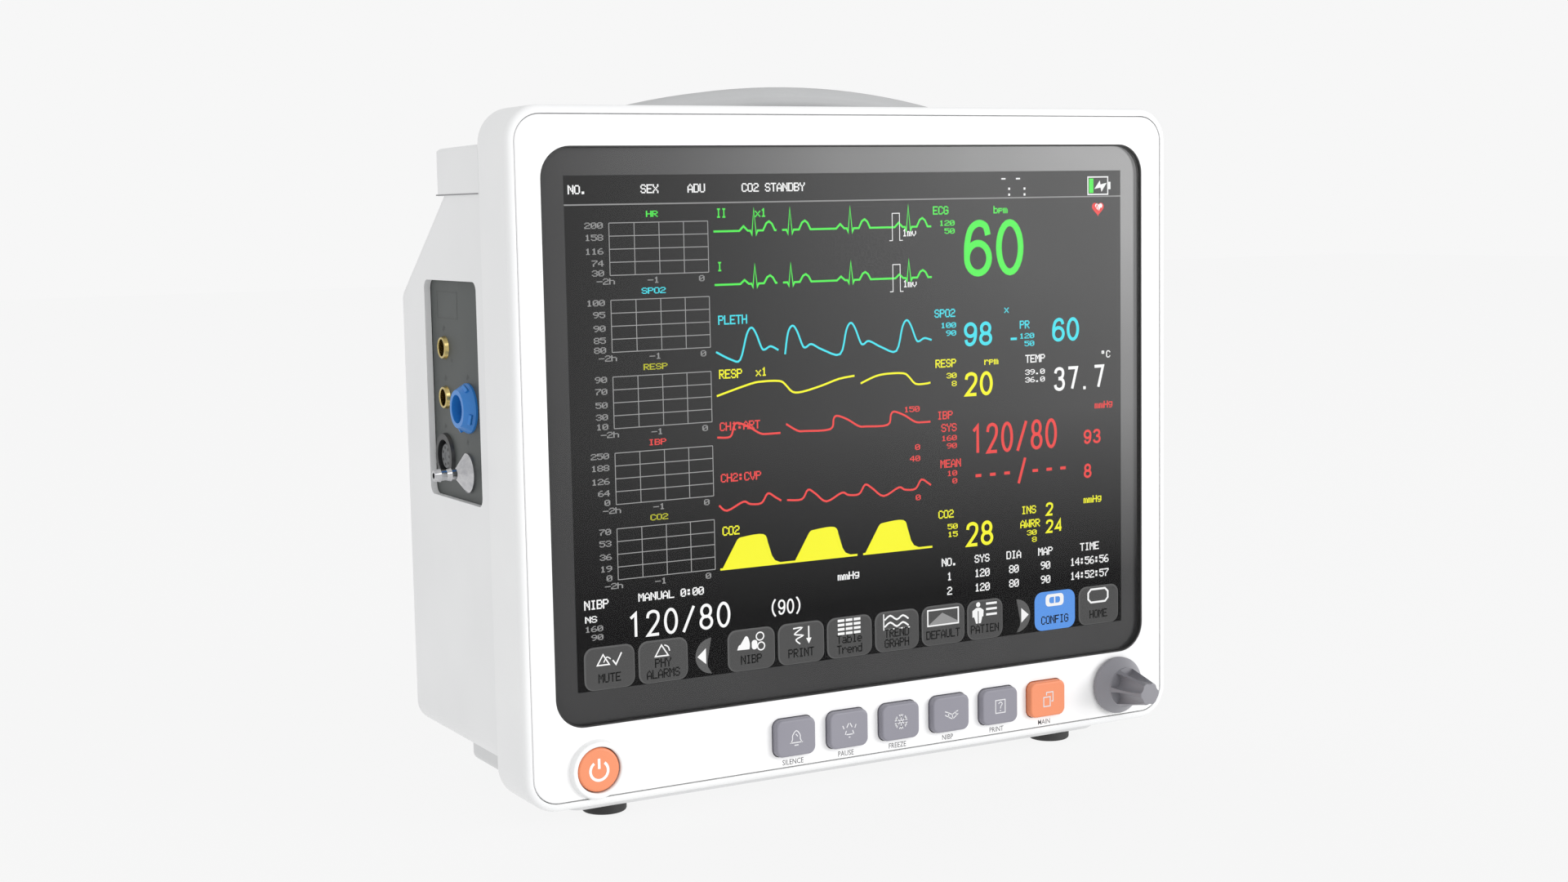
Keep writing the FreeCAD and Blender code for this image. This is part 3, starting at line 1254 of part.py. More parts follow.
def make_hose(start, down, along, height, end):
    """The air hose: level from the nozzle's tail, then down to the pump through one bend."""
    bend = 12
    centre_x, centre_z = down - bend, height - bend
    solids = []
    for word, radius in (("outer", size.hose_radius), ("bore", size.hose_radius - size.hose_wall)):
        level = rod(f"hose_level_{word}", "X", radius, (start, along, height), centre_x - start)
        drop = rod(f"hose_drop_{word}", "Z", radius, (down, along, end), centre_z - end)
        elbow = body(f"hose_elbow_{word}", (centre_x, along, centre_z))
        section = circle(sketch_on(elbow, "YZ"), 0, bend, radius)
        feature = elbow.newObject("PartDesign::Revolution", elbow.Name + "_turned")
        feature.Profile = section
        feature.ReferenceAxis = (section, ["H_Axis"])
        feature.Angle = 90
        elbow.Tip = feature
        solids.append(fuse(f"hose_{word}", [level, elbow, drop]))
    node(cut("hose_cut", solids[0], [solids[1]]), "air_hose")


def make_screws():
    """Identical screws: four from the back into the ring's bosses, two in the battery cover."""
    places = [(across, size.front_depth, height) for across, height in ring_screws]
    places += [(size.bay_across + side * cover_screw(), size.housing_depth - size.head_height_small,
                size.bay_centre) for side in (-1, 1)]
    screws = []
    for i, (across, along, height) in enumerate(places):
        shank = rod(f"screw_shank_{i}", "Y", size.screw_radius,
                    (across, along - size.screw_length, height), size.screw_length + size.slip)
        head = rod(f"screw_head_{i}", "Y", size.screw_head, (across, along, height),
                   size.head_height_small)
        socket = rod(f"screw_socket_{i}", "Y", size.screw_radius - size.slip,
                     (across, along + size.head_height_small / 2, height), size.head_height_small)
        screws.append(cut(f"screw_{i}", fuse(f"screw_solid_{i}", [shank, head]), [socket]))
    node(group("screw_group", screws), "case_screws")


make_front_housing()
make_face_plate()
make_window()
make_display()
make_keys()
make_power_button()
make_knob()
make_rear_housing()
make_top_cover()
make_base()
make_connectors()
make_recorder()
make_back_fittings()
make_battery()
make_inside()
make_screws()
document.recompute()

faulty = [item.Name for item in document.Objects if {"Invalid", "Error"} & set(item.State)]
for item in nodes:
    if item.Shape.isNull() or not item.Shape.isValid() or not item.Shape.Solids:
        faulty.append(item.Label)
if faulty:
    raise RuntimeError("failed: " + ", ".join(faulty))

os.makedirs("parts", exist_ok=True)
for item in nodes:
    item.Shape.exportStep(f"parts/{item.Label}.step")
    print(item.Label, round(item.Shape.Volume), len(item.Shape.Solids))
print(len(nodes), "nodes")
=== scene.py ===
import math

import bmesh
import bpy
from mathutils import Matrix, Vector


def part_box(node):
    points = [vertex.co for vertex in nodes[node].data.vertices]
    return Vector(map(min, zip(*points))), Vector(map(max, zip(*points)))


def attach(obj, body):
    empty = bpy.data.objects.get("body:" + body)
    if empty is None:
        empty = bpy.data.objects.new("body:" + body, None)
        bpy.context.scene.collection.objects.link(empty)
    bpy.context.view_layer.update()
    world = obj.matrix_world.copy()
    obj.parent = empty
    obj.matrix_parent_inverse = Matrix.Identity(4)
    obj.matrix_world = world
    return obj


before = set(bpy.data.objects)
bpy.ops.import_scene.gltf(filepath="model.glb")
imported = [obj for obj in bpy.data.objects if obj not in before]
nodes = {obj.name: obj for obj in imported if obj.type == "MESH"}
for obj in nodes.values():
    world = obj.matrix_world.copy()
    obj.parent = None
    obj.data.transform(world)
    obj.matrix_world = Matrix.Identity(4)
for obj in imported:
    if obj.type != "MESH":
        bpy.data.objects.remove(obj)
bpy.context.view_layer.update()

# A bedside patient monitor: materials for the designed pieces, the picture on the screen, the marks
# on keys, the side panel's small parts, and the studio round it. Metres throughout.

mm = 0.001
# the middle of the front, and the front itself, where the pieces were designed from (mm)
designFrom = {"x": 5.25, "y": -53.5}
scene = bpy.context.scene


def newMaterial(name):
    material = bpy.data.materials.new(name)
    material.use_nodes = True
    tree = material.node_tree
    shader = tree.nodes["Principled BSDF"]
    return material, tree, shader


def objectNoise(tree, scale, detail=2.0, roughness=0.5, stretch=(1, 1, 1)):
    coordinates = tree.nodes.new("ShaderNodeTexCoord")
    mapping = tree.nodes.new("ShaderNodeMapping")
    mapping.inputs["Scale"].default_value = stretch
    noise = tree.nodes.new("ShaderNodeTexNoise")
    noise.inputs["Scale"].default_value = scale
    noise.inputs["Detail"].default_value = detail
    noise.inputs["Roughness"].default_value = roughness
    tree.links.new(coordinates.outputs["Object"], mapping.inputs["Vector"])
    tree.links.new(mapping.outputs["Vector"], noise.inputs["Vector"])
    return noise.outputs["Fac"]


def spread(tree, factor, low, high, start=0.35, end=0.65):
    # maps the middle of a noise onto a narrow band of values
    band = tree.nodes.new("ShaderNodeMapRange")
    band.inputs["From Min"].default_value = start
    band.inputs["From Max"].default_value = end
    band.inputs["To Min"].default_value = low
    band.inputs["To Max"].default_value = high
    tree.links.new(factor, band.inputs["Value"])
    return band.outputs["Result"]


def tint(tree, factor, first, second):
    mix = tree.nodes.new("ShaderNodeMix")
    mix.data_type = "RGBA"
    mix.inputs["A"].default_value = (*first, 1)
    mix.inputs["B"].default_value = (*second, 1)
    tree.links.new(factor, mix.inputs["Factor"])
    return mix.outputs["Result"]


def mouldedPlastic(name, colour, shade, roughness=0.4, grain=900, depth=0.00002, spots=14):
    # a moulded plastic: fine spark-eroded grain, and slow changes of tint and gloss
    material, tree, shader = newMaterial(name)
    slow = objectNoise(tree, spots, 3)
    tree.links.new(tint(tree, spread(tree, slow, 0, 1), colour, shade), shader.inputs["Base Color"])
    fine = objectNoise(tree, grain, 2, 0.6)
    tree.links.new(spread(tree, slow, roughness - 0.03, roughness + 0.05), shader.inputs["Roughness"])
    bump = tree.nodes.new("ShaderNodeBump")
    bump.inputs["Strength"].default_value = 0.35
    bump.inputs["Distance"].default_value = depth
    tree.links.new(fine, bump.inputs["Height"])
    tree.links.new(bump.outputs["Normal"], shader.inputs["Normal"])
    return material


def metalFinish(name, colour, shade, roughness, stretch=(1, 1, 1), scale=400, depth=0.00001):
    material, tree, shader = newMaterial(name)
    shader.inputs["Metallic"].default_value = 1.0
    grain = objectNoise(tree, scale, 3, 0.6, stretch)
    tree.links.new(tint(tree, spread(tree, grain, 0, 1), colour, shade), shader.inputs["Base Color"])
    tree.links.new(spread(tree, grain, roughness * 0.8, roughness * 1.3), shader.inputs["Roughness"])
    bump = tree.nodes.new("ShaderNodeBump")
    bump.inputs["Strength"].default_value = 0.3
    bump.inputs["Distance"].default_value = depth
    tree.links.new(grain, bump.inputs["Height"])
    tree.links.new(bump.outputs["Normal"], shader.inputs["Normal"])
    return material


def lightInk(name, colour):
    # a colour that the display gives off, a little uneven like its backlight
    material, tree, shader = newMaterial(name)
    glow = objectNoise(tree, 9, 1)
    dim = tuple(0.93 * part for part in colour)
    tree.links.new(tint(tree, spread(tree, glow, 0, 1), colour, dim),
                   shader.inputs["Emission Color"])
    shader.inputs["Base Color"].default_value = (0.01, 0.01, 0.01, 1)
    shader.inputs["Emission Strength"].default_value = 1.0
    shader.inputs["Specular IOR Level"].default_value = 0.0
    return material


finishes = {
    "housingWhite": mouldedPlastic("housingWhite", (0.86, 0.865, 0.865), (0.83, 0.835, 0.84), 0.42),
    "rearWhite": mouldedPlastic("rearWhite", (0.83, 0.835, 0.84), (0.8, 0.805, 0.81), 0.45),
    # the base pan's white is painted darker than the housing's white: painted shade under the body
    "shadedBaseWhite": mouldedPlastic("shadedBaseWhite", (0.7, 0.705, 0.71), (0.67, 0.675, 0.68), 0.48),
    "faceWhite": mouldedPlastic("faceWhite", (0.93, 0.93, 0.93), (0.91, 0.91, 0.915), 0.35),
    "handleGrey": mouldedPlastic("handleGrey", (0.47, 0.475, 0.48), (0.43, 0.435, 0.44), 0.5),
    "keyGrey": mouldedPlastic("keyGrey", (0.27, 0.265, 0.305), (0.24, 0.235, 0.275), 0.42),
    "keyOrange": mouldedPlastic("keyOrange", (0.83, 0.275, 0.13), (0.78, 0.25, 0.115), 0.4),
    "knobGrey": mouldedPlastic("knobGrey", (0.27, 0.267, 0.29), (0.235, 0.232, 0.255), 0.4),
    "panelGrey": mouldedPlastic("panelGrey", (0.066, 0.074, 0.071), (0.055, 0.062, 0.06), 0.5),
    "softBlack": mouldedPlastic("softBlack", (0.018, 0.018, 0.018), (0.03, 0.03, 0.03), 0.6),
    "socketBlue": mouldedPlastic("socketBlue", (0.03, 0.24, 0.66), (0.025, 0.2, 0.6), 0.3),
    "darkPlastic": mouldedPlastic("darkPlastic", (0.02, 0.021, 0.022), (0.03, 0.031, 0.033), 0.38),
    "insulator": mouldedPlastic("insulator", (0.12, 0.125, 0.13), (0.15, 0.155, 0.16), 0.5),
    "paperWhite": mouldedPlastic("paperWhite", (0.84, 0.83, 0.8), (0.8, 0.79, 0.76), 0.8, 1400),
    "boardGreen": mouldedPlastic("boardGreen", (0.02, 0.12, 0.05), (0.03, 0.16, 0.07), 0.45, 300),
    "goldMetal": metalFinish("goldMetal", (0.62, 0.5, 0.22), (0.52, 0.41, 0.16), 0.22),
    "brightMetal": metalFinish("brightMetal", (0.56, 0.56, 0.57), (0.46, 0.46, 0.48), 0.16),
    "steelSheet": metalFinish("steelSheet", (0.55, 0.56, 0.57), (0.45, 0.46, 0.47), 0.35, (1, 1, 12)),
}

wearers = {
    "housingWhite": ["front_housing", "recorder_door", "power_ring"],
    "rearWhite": ["rear_housing", "top_cover"],
    "shadedBaseWhite": ["base_pan", "battery_cover"],
    "faceWhite": ["face_plate"],
    "handleGrey": ["carry_handle"],
    "keyGrey": ["key_silence", "key_pause", "key_freeze", "key_cuff", "key_print"],
    "keyOrange": ["key_menu", "power_button"],
    "knobGrey": ["knob"],
    "panelGrey": ["connector_panel", "recorder_case", "battery_tray"],
    # the window gasket is black, and its thin line round the top and left of the glass is also painted shade
    # of the glass's recess
    "softBlack": ["window_gasket", "feet", "air_hose", "platen_roller"],
    "socketBlue": ["ecg_socket"],
    "darkPlastic": ["probe_socket", "mains_inlet", "fuse_holders", "speaker", "battery_pack",
                    "display_module"],
    "insulator": ["ecg_core", "probe_core"],
    "paperWhite": ["paper_roll"],
    "boardGreen": ["key_board", "power_board", "main_board", "measuring_board", "power_supply"],
    "goldMetal": ["temperature_jacks", "base_inserts", "inlet_blades", "motor_pinion",
                  "release_valve"],
    "brightMetal": ["cuff_nozzle", "earth_stud", "encoder_shaft"],
    "steelSheet": ["display_bracket", "chassis", "door_pin", "case_screws", "encoder_nut",
                   "recorder_motor", "platen_gear", "encoder", "encoder_plunger", "print_head",
                   "cuff_pump", "network_port"],
}

for finish, names in wearers.items():
    for name in names:
        nodes[name].material_slots[0].material = finishes[finish]

frontGlass = {"roughness": 0.22, "alpha": 0.13, "colour": (0.0, 0.0, 0.0), "index": 1.72}
material, tree, shader = newMaterial("frontGlass")
shader.inputs["Base Color"].default_value = (*frontGlass["colour"], 1)
shader.inputs["Alpha"].default_value = frontGlass["alpha"]
shader.inputs["IOR"].default_value = frontGlass["index"]
smear = objectNoise(tree, 20, 2)
tree.links.new(spread(tree, smear, frontGlass["roughness"] - 0.02, frontGlass["roughness"] + 0.02),
               shader.inputs["Roughness"])
nodes["display_glass"].material_slots[0].material = material
print("materials set on", len(nodes), "designed pieces")


# Pieces made here are laid out on a flat plan and stand in place; each rides on one of the bodies.
def pieceFrom(shape, name, material, body="case"):
    bmesh.ops.recalc_face_normals(shape, faces=shape.faces)
    mesh = bpy.data.meshes.new(name)
    shape.to_mesh(mesh)
    shape.free()
    piece = bpy.data.objects.new(name, mesh)
    scene.collection.objects.link(piece)
    mesh.materials.append(material)
    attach(piece, body)


def rectangle(shape, plan, x0, y0, x1, y1, lift):
    corners = ((x0, y1), (x1, y1), (x1, y0), (x0, y0))
    shape.faces.new([shape.verts.new(plan(x, y, lift)) for x, y in corners])


def roundedPlate(shape, plan, x0, y0, x1, y1, radius, lift, segments=5):
    plate = bmesh.new()
    bmesh.ops.create_grid(plate, x_segments=1, y_segments=1, size=0.5)
    bmesh.ops.transform(plate, matrix=Matrix.Diagonal((x1 - x0, y1 - y0, 1, 1)), verts=plate.verts)
    bmesh.ops.bevel(plate, geom=plate.verts[:], offset=radius, segments=segments, profile=0.5,
                    affect="VERTICES", material=-1)
    plate.faces.ensure_lookup_table()
    middle = ((x0 + x1) / 2, (y0 + y1) / 2)
    shape.faces.new([shape.verts.new(plan(middle[0] + v.co.x, middle[1] - v.co.y, lift))
                     for v in plate.faces[0].verts])
    plate.free()


def ribbon(shape, plan, points, width, lift):
    # a flat line along the points, its joints mitred
    points = [Vector(p) for p in points]
    closed = (points[0] - points[-1]).length < 1e-6
    if closed:
        points = points[:-1]
    count = len(points)
    sides = []
    for i, point in enumerate(points):
        before = (point - points[i - 1]).normalized() if i or closed else None
        after = (points[(i + 1) % count] - point).normalized() if i + 1 < count or closed else None
        along = (before or after) + (after or before)
        along = along.normalized() if along.length > 0.01 else (before or after)
        across = Vector((-along.y, along.x))
        reach = width / 2
        if before and after:
            reach /= max(0.45, abs(across.dot(Vector((-before.y, before.x)))))
        sides.append((shape.verts.new(plan(*(point + across * reach), lift)),
                      shape.verts.new(plan(*(point - across * reach), lift))))
    ends = sides[1:] + sides[:1] if closed else sides[1:]
    for (a, b), (c, d) in zip(sides, ends):
        shape.faces.new((a, b, d, c))


def filled(shape, plan, points, lift):
    face = shape.faces.new([shape.verts.new(plan(x, y, lift)) for x, y in points])
    bmesh.ops.triangulate(shape, faces=[face])


def smooth(points, steps=6):
    # a curve through the points, whose slope at each follows its neighbours
    made = []
    for i in range(len(points) - 1):
        p0, p1 = Vector(points[max(i - 1, 0)]), Vector(points[i])
        p2, p3 = Vector(points[i + 1]), Vector(points[min(i + 2, len(points) - 1)])
        for k in range(steps):
            t = k / steps
            made.append(tuple(0.5 * (2 * p1 + (p2 - p0) * t + (2 * p0 - 5 * p1 + 4 * p2 - p3) * t * t
                                     + (3 * p1 - p0 - 3 * p2 + p3) * t ** 3)))
    return made + [tuple(points[-1])]


def oval(x, y, across, up, start=0, end=360, step=15):
    turns = range(start, end + 1, step) if end > start else range(start, end - 1, -step)
    return [(x + across * math.cos(math.radians(a)), y - up * math.sin(math.radians(a))) for a in turns]


def plainLetters(shape, plan, words, x, y, height, stretch, weight, lift):
    # printed words, centred at x, whose capitals stand on the line at y
    curve = bpy.data.curves.new("letters", "FONT")
    curve.body = words
    curve.size = height / 0.73
    curve.align_x = "CENTER"
    curve.offset = weight * height
    curve.resolution_u = 2
    holder = bpy.data.objects.new("letters", curve)
    scene.collection.objects.link(holder)
    bpy.context.view_layer.update()
    flat = bpy.data.meshes.new_from_object(
        holder.evaluated_get(bpy.context.evaluated_depsgraph_get()))
    letters = bmesh.new()
    letters.from_mesh(flat)
    made = {v: shape.verts.new(plan(x + v.co.x * stretch, y - v.co.y, lift)) for v in letters.verts}
    for face in letters.faces:
        shape.faces.new([made[v] for v in face.verts])
    letters.free()
    bpy.data.objects.remove(holder)
    bpy.data.meshes.remove(flat)
    bpy.data.curves.remove(curve)


# The picture on the display. Its own plan is in millimetres from the top left corner of the lit
# area, x to the right and y down.
# paintedReflectionLeft, paintedReflectionRight, fadeStart and fadeEnd set the painted reflection of the room
# on the display's black
screen = {"width": 246, "height": 186, "right": 0.4, "up": 1.0, "depth": 0.1, "trace": 0.75,
          "rule": 0.3, "cell": 2.46, "tall": 3.2, "short": 2.2, "paintedReflectionLeft": 0.026,
          "paintedReflectionRight": 0.095, "fadeStart": 95, "fadeEnd": 165}
glassLow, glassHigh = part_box("display_glass")
screenCentre = Vector(((glassLow[0] + glassHigh[0]) / 2 + screen["right"] * mm,
                       glassHigh[1] - screen["depth"] * mm,
                       (glassLow[2] + glassHigh[2]) / 2 + screen["up"] * mm))


def onScreen(x, y, lift=0.0):
    return Vector((screenCentre.x + (x - screen["width"] / 2) * mm, screenCentre.y - lift * mm,
                   screenCentre.z + (screen["height"] / 2 - y) * mm))


inkColours = {
    "white": (1.1, 1.1, 1.1), "grey": (0.36, 0.36, 0.36), "line": (0.42, 0.42, 0.42),
    "green": (0.12, 1.05, 0.12), "cyan": (0.09, 0.9, 1.02), "yellow": (1.1, 1.08, 0.04),
    "dimYellow": (0.6, 0.6, 0.04), "red": (1.0, 0.095, 0.09), "blue": (0.13, 0.38, 0.98),
    "button": (0.088, 0.088, 0.088), "buttonRim": (0.13, 0.13, 0.13), "dark": (0.0, 0.0, 0.0),
}
inks = {name: lightInk("ink" + name.capitalize(), colour) for name, colour in inkColours.items()}
layers = {name: bmesh.new() for name in inks}


def addRectangle(colour, x0, y0, x1, y1, lift=0.03):
    rectangle(layers[colour], onScreen, x0, y0, x1, y1, lift)


def addRounded(colour, x0, y0, x1, y1, radius, lift=0.03):
    roundedPlate(layers[colour], onScreen, x0, y0, x1, y1, radius, lift)


def addLine(colour, points, width=None, lift=0.05):
    ribbon(layers[colour], onScreen, points, width or screen["rule"], lift)


def addTrace(colour, points, lift=0.05):
    ribbon(layers[colour], onScreen, points, screen["trace"], lift)


def addFill(colour, points, lift=0.04):
    filled(layers[colour], onScreen, points, lift)


# Dots of the display's small characters, row by row from the top
dots = {
    "A": "..x.. .x.x. x...x x...x xxxxx x...x x...x", "B": "xxxx. x...x x...x xxxx. x...x x...x xxxx.",
    "C": ".xxx. x...x x.... x.... x.... x...x .xxx.", "D": "xxxx. x...x x...x x...x x...x x...x xxxx.",
    "E": "xxxxx x.... x.... xxxx. x.... x.... xxxxx", "F": "xxxxx x.... x.... xxxx. x.... x.... x....",
    "G": ".xxx. x...x x.... x.xxx x...x x...x .xxx.", "H": "x...x x...x x...x xxxxx x...x x...x x...x",
    "I": ".xxx. ..x.. ..x.. ..x.. ..x.. ..x.. .xxx.", "L": "x.... x.... x.... x.... x.... x.... xxxxx",
    "M": "x...x xx.xx x.x.x x.x.x x...x x...x x...x", "N": "x...x xx..x x.x.x x.x.x x..xx x...x x...x",
    "O": ".xxx. x...x x...x x...x x...x x...x .xxx.", "P": "xxxx. x...x x...x xxxx. x.... x.... x....",
    "R": "xxxx. x...x x...x xxxx. x.x.. x..x. x...x", "S": ".xxx. x...x x.... .xxx. ....x x...x .xxx.",
    "T": "xxxxx ..x.. ..x.. ..x.. ..x.. ..x.. ..x..", "U": "x...x x...x x...x x...x x...x x...x .xxx.",
    "V": "x...x x...x x...x x...x .x.x. .x.x. ..x..", "W": "x...x x...x x...x x.x.x x.x.x xx.xx x...x",
    "X": "x...x x...x .x.x. ..x.. .x.x. x...x x...x", "Y": "x...x x...x .x.x. ..x.. ..x.. ..x.. ..x..",
    "0": ".xxx. x...x x..xx x.x.x xx..x x...x .xxx.", "1": "..x.. .xx.. ..x.. ..x.. ..x.. ..x.. .xxx.",
    "2": ".xxx. x...x ....x ..xx. .x... x.... xxxxx", "3": ".xxx. x...x ....x ..xx. ....x x...x .xxx.",
    "4": "...x. ..xx. .x.x. x..x. xxxxx ...x. ...x.", "5": "xxxxx x.... xxxx. ....x ....x x...x .xxx.",
    "6": "..xx. .x... x.... xxxx. x...x x...x .xxx.", "7": "xxxxx ....x ...x. ..x.. .x... .x... .x...",
    "8": ".xxx. x...x x...x .xxx. x...x x...x .xxx.", "9": ".xxx. x...x x...x .xxxx ....x ...x. .xx..",
    "a": "..... ..... .xxx. ....x .xxxx x...x .xxxx", "b": "x.... x.... xxxx. x...x x...x x...x xxxx.",
    "d": "....x ....x .xxxx x...x x...x x...x .xxxx", "e": "..... ..... .xxx. x...x xxxxx x.... .xxx.",
    "g": "..... .xxxx x...x x...x .xxxx ....x .xxx.", "h": "x.... x.... xxxx. x...x x...x x...x x...x",
    "l": ".xx.. ..x.. ..x.. ..x.. ..x.. ..x.. .xxx.", "m": "..... ..... xx.x. x.x.x x.x.x x.x.x x.x.x",
    "n": "..... ..... x.xx. xx..x x...x x...x x...x", "p": "..... ..... xxxx. x...x xxxx. x.... x....",
    "r": "..... ..... x.xx. xx..x x.... x.... x....", "v": "..... ..... x...x x...x x...x .x.x. ..x..",
    "x": "..... ..... x...x .x.x. ..x.. .x.x. x...x", "o": "xxx.. x.x.. xxx.. ..... ..... ..... .....",
    ".": "..... ..... ..... ..... ..... .xx.. .xx..", ":": "..... .xx.. .xx.. ..... .xx.. .xx.. .....",
    "-": "..... ..... ..... xxxxx ..... ..... .....", " ": "..... ..... ..... ..... ..... ..... .....",
}


def addText(colour, words, x, y, height=None, align=0.0, cell=None, lift=0.07):
    # small characters that stand on the line at y; align is the share of their width left of x
    height, cell = height or screen["tall"], cell or screen["cell"]
    wide, tall = cell / 5.6, height / 7
    left = x - align * cell * len(words)
    for place, letter in enumerate(words):
        for row, line in enumerate(dots[letter].split()):
            top = y - height + row * tall
            start = None
            for column, dot in enumerate(line + "."):
                if dot == "x" and start is None:
                    start = column
                elif dot != "x" and start is not None:
                    at = left + place * cell
                    addRectangle(colour, at + start * wide, top, at + (column + 0.25) * wide,
                                 top + tall * 1.04, lift)
                    start = None


# Strokes of the large figures in a box one wide and one high, y down
strokes = {
    "0": [oval(0.5, 0.5, 0.5, 0.5)],
    "1": [[(0.12, 0.2), (0.56, 0.02), (0.56, 1.0)]],
    "2": [smooth([(0.02, 0.27), (0.12, 0.08), (0.5, 0.0), (0.88, 0.08), (0.97, 0.27), (0.84, 0.48),
                  (0.42, 0.76), (0.04, 1.0)], 4) + [(1.0, 1.0)]],
    "3": [smooth([(0.03, 0.22), (0.16, 0.06), (0.5, 0.0), (0.84, 0.07), (0.93, 0.24), (0.8, 0.42),
                  (0.4, 0.48)], 4),
          smooth([(0.4, 0.48), (0.84, 0.54), (1.0, 0.73), (0.86, 0.93), (0.5, 1.0), (0.12, 0.93),
                  (0.0, 0.77)], 4)],
    "4": [[(0.76, 1.0), (0.76, 0.02), (0.0, 0.72), (1.0, 0.72)]],
    "6": [oval(0.5, 0.7, 0.5, 0.3),
          smooth([(0.0, 0.7), (0.02, 0.4), (0.18, 0.12), (0.52, 0.0), (0.84, 0.06), (0.95, 0.24)], 4)],
    "7": [[(0.0, 0.0), (1.0, 0.0), (0.44, 1.0)]],
    "8": [oval(0.5, 0.25, 0.42, 0.25), oval(0.5, 0.74, 0.5, 0.26)],
    "9": [oval(0.5, 0.3, 0.5, 0.3),
          smooth([(1.0, 0.3), (0.98, 0.6), (0.82, 0.88), (0.48, 1.0), (0.16, 0.94), (0.05, 0.76)], 4)],
    "/": [[(0.98, -0.03), (0.02, 1.05)]],
    "-": [[(0.0, 0.56), (0.8, 0.56)]],
    ".": [[(0.2, 1.0), (0.5, 1.0)]],
    "(": [smooth([(0.95, -0.14), (0.55, 0.16), (0.42, 0.5), (0.55, 0.84), (0.95, 1.14)], 3)],
    ")": [smooth([(0.05, -0.14), (0.45, 0.16), (0.58, 0.5), (0.45, 0.84), (0.05, 1.14)], 3)],
}


def addFigures(colour, words, left, top, bottom, pitch, width, weight):
    # large figures drawn with one stroke width, between the levels top and bottom
    across, tall = width - weight, bottom - top - weight
    for place, letter in enumerate(words):
        at = left + place * pitch + weight / 2
        for part, line in enumerate(strokes[letter]):
            addLine(colour, [(at + x * across, top + weight / 2 + y * tall) for x, y in line],
                    weight, 0.05 + 0.012 * part)


def drawHeader():
    for words, x in (("NO.", 1.6), ("SEX", 30.0), ("ADU", 48.9), ("CO2 STANDBY", 71.2)):
        addText("white", words, x, 6.6)
    for x in (188.3, 195.3):
        addRectangle("white", x - 1, 2.6, x + 1, 3.2)
    for x in (191.0, 198.4):
        for y in (6.4, 8.7):
            addRectangle("white", x - 0.45, y, x + 0.45, y + 0.9)
    addLine("grey", [(0, 10.4), (246, 10.4)], 0.5)


def drawBattery():
    addLine("white", [(229.6, 2.6), (239.6, 2.6), (239.6, 9.6), (229.6, 9.6), (229.6, 2.6)], 0.5)
    addRectangle("white", 239.9, 4.6, 241.0, 7.6)
    addRectangle("green", 230.2, 3.2, 232.4, 9.0)
    addFill("white", [(232.8, 7.4), (235.6, 4.0), (235.9, 5.6), (239.0, 5.0), (236.4, 8.6),
                      (235.9, 6.9)], 0.08)


def drawHeart():
    outline = [(234.6 + 3.0 * math.sin(t) ** 3,
                15.2 - 0.19 * (13 * math.cos(t) - 5 * math.cos(2 * t) - 2 * math.cos(3 * t)
                               - math.cos(4 * t))) for t in map(math.radians, range(0, 360, 15))]
    addFill("red", outline)
    addFill("white", [(235.0 + 0.62 * (x - 234.6), 14.6 + 0.6 * (y - 15.2)) for x, y in outline], 0.06)
    addLine("red", [(231.8, 15.2), (233.6, 15.2), (234.2, 13.6), (235.1, 16.8), (235.9, 15.2),
                    (237.4, 15.2)], 0.45, 0.08)


trends = [("HR", "green", ("200", "158", "116", "74", "30")),
          ("SPO2", "cyan", ("100", "95", "90", "85", "80")),
          ("RESP", "dimYellow", ("90", "70", "50", "30", "10")),
          ("IBP", "red", ("250", "188", "126", "64", "0")),
          ("CO2", "dimYellow", ("70", "53", "36", "19", "0"))]
trendPlan = {"left": 17.2, "right": 56.9, "top": 17.0, "tall": 18.7, "pitch": 27.6,
             "levels": (1.9, 6.2, 11.1, 15.4, 18.9)}


def drawTrends():
    left, right, tall = trendPlan["left"], trendPlan["right"], trendPlan["tall"]
    for i, (title, colour, marks) in enumerate(trends):
        y = trendPlan["top"] + i * trendPlan["pitch"]
        addText(colour, title, 34.4, y - 1.9, screen["short"], 0.5)
        for step in range(5):
            across = left + (right - left) * step / 4
            addLine("line", [(across, y), (across, y + tall)])
            addLine("line", [(left, y + tall * step / 4), (right, y + tall * step / 4)])
            addText("grey", marks[step], left - 2.2, y + trendPlan["levels"][step], screen["short"], 1.0)
        for words, x in (("-2h", left - 5.4), ("-1", 32.0), ("0", 52.8)):
            addText("grey", words, x, y + tall + 3.2, screen["short"])


def beat(at, base, scale):
    # one heartbeat whose tallest peak is at `at`
    return [(at - 6.2, base), (at - 4.4, base - 1.7 * scale), (at - 2.6, base), (at - 1.5, base),
            (at - 0.9, base + 1.4 * scale), (at, base - 8.0 * scale), (at + 0.9, base + 1.4 * scale),
            (at + 1.5, base), (at + 3.8, base), (at + 5.2, base - 2.6 * scale),
            (at + 6.4, base - 3.3 * scale), (at + 7.6, base - 2.4 * scale), (at + 8.8, base)]


def drawCardiac():
    for base, label, scale in ((20.9, "II", 1.0), (40.5, "I", 0.86)):
        addTrace("green", [(59.2, base)] + beat(76.1, base, scale) + [(85.6, base)])
        second = [(88.0, base)] + beat(91.4, base, scale)[3:]
        for at in (117.6, 143.7):
            second += beat(at, base, scale)
        addTrace("green", second + [(154.2, base)])
        addText("green", label, 60.4, base - 5.0, 3.4, cell=2.2)
        for x, way in ((136.4, -1), (139.7, 1)):
            addLine("white", [(138.05, base - 5.3), (x, base - 5.3), (x, base + 5.1),
                              (x + way * 1.4, base + 5.1)])
        addText("white", "1mv", 141.0, base + 3.6, 2.8, cell=2.1)
    addText("green", "x1", 76.6, 15.9, 3.2)


def wave(shape, at, level):
    # one wave of a trace, whose own middle stands at `at` and whose zero is at this level
    return [(at + x, level + y) for x, y in shape]


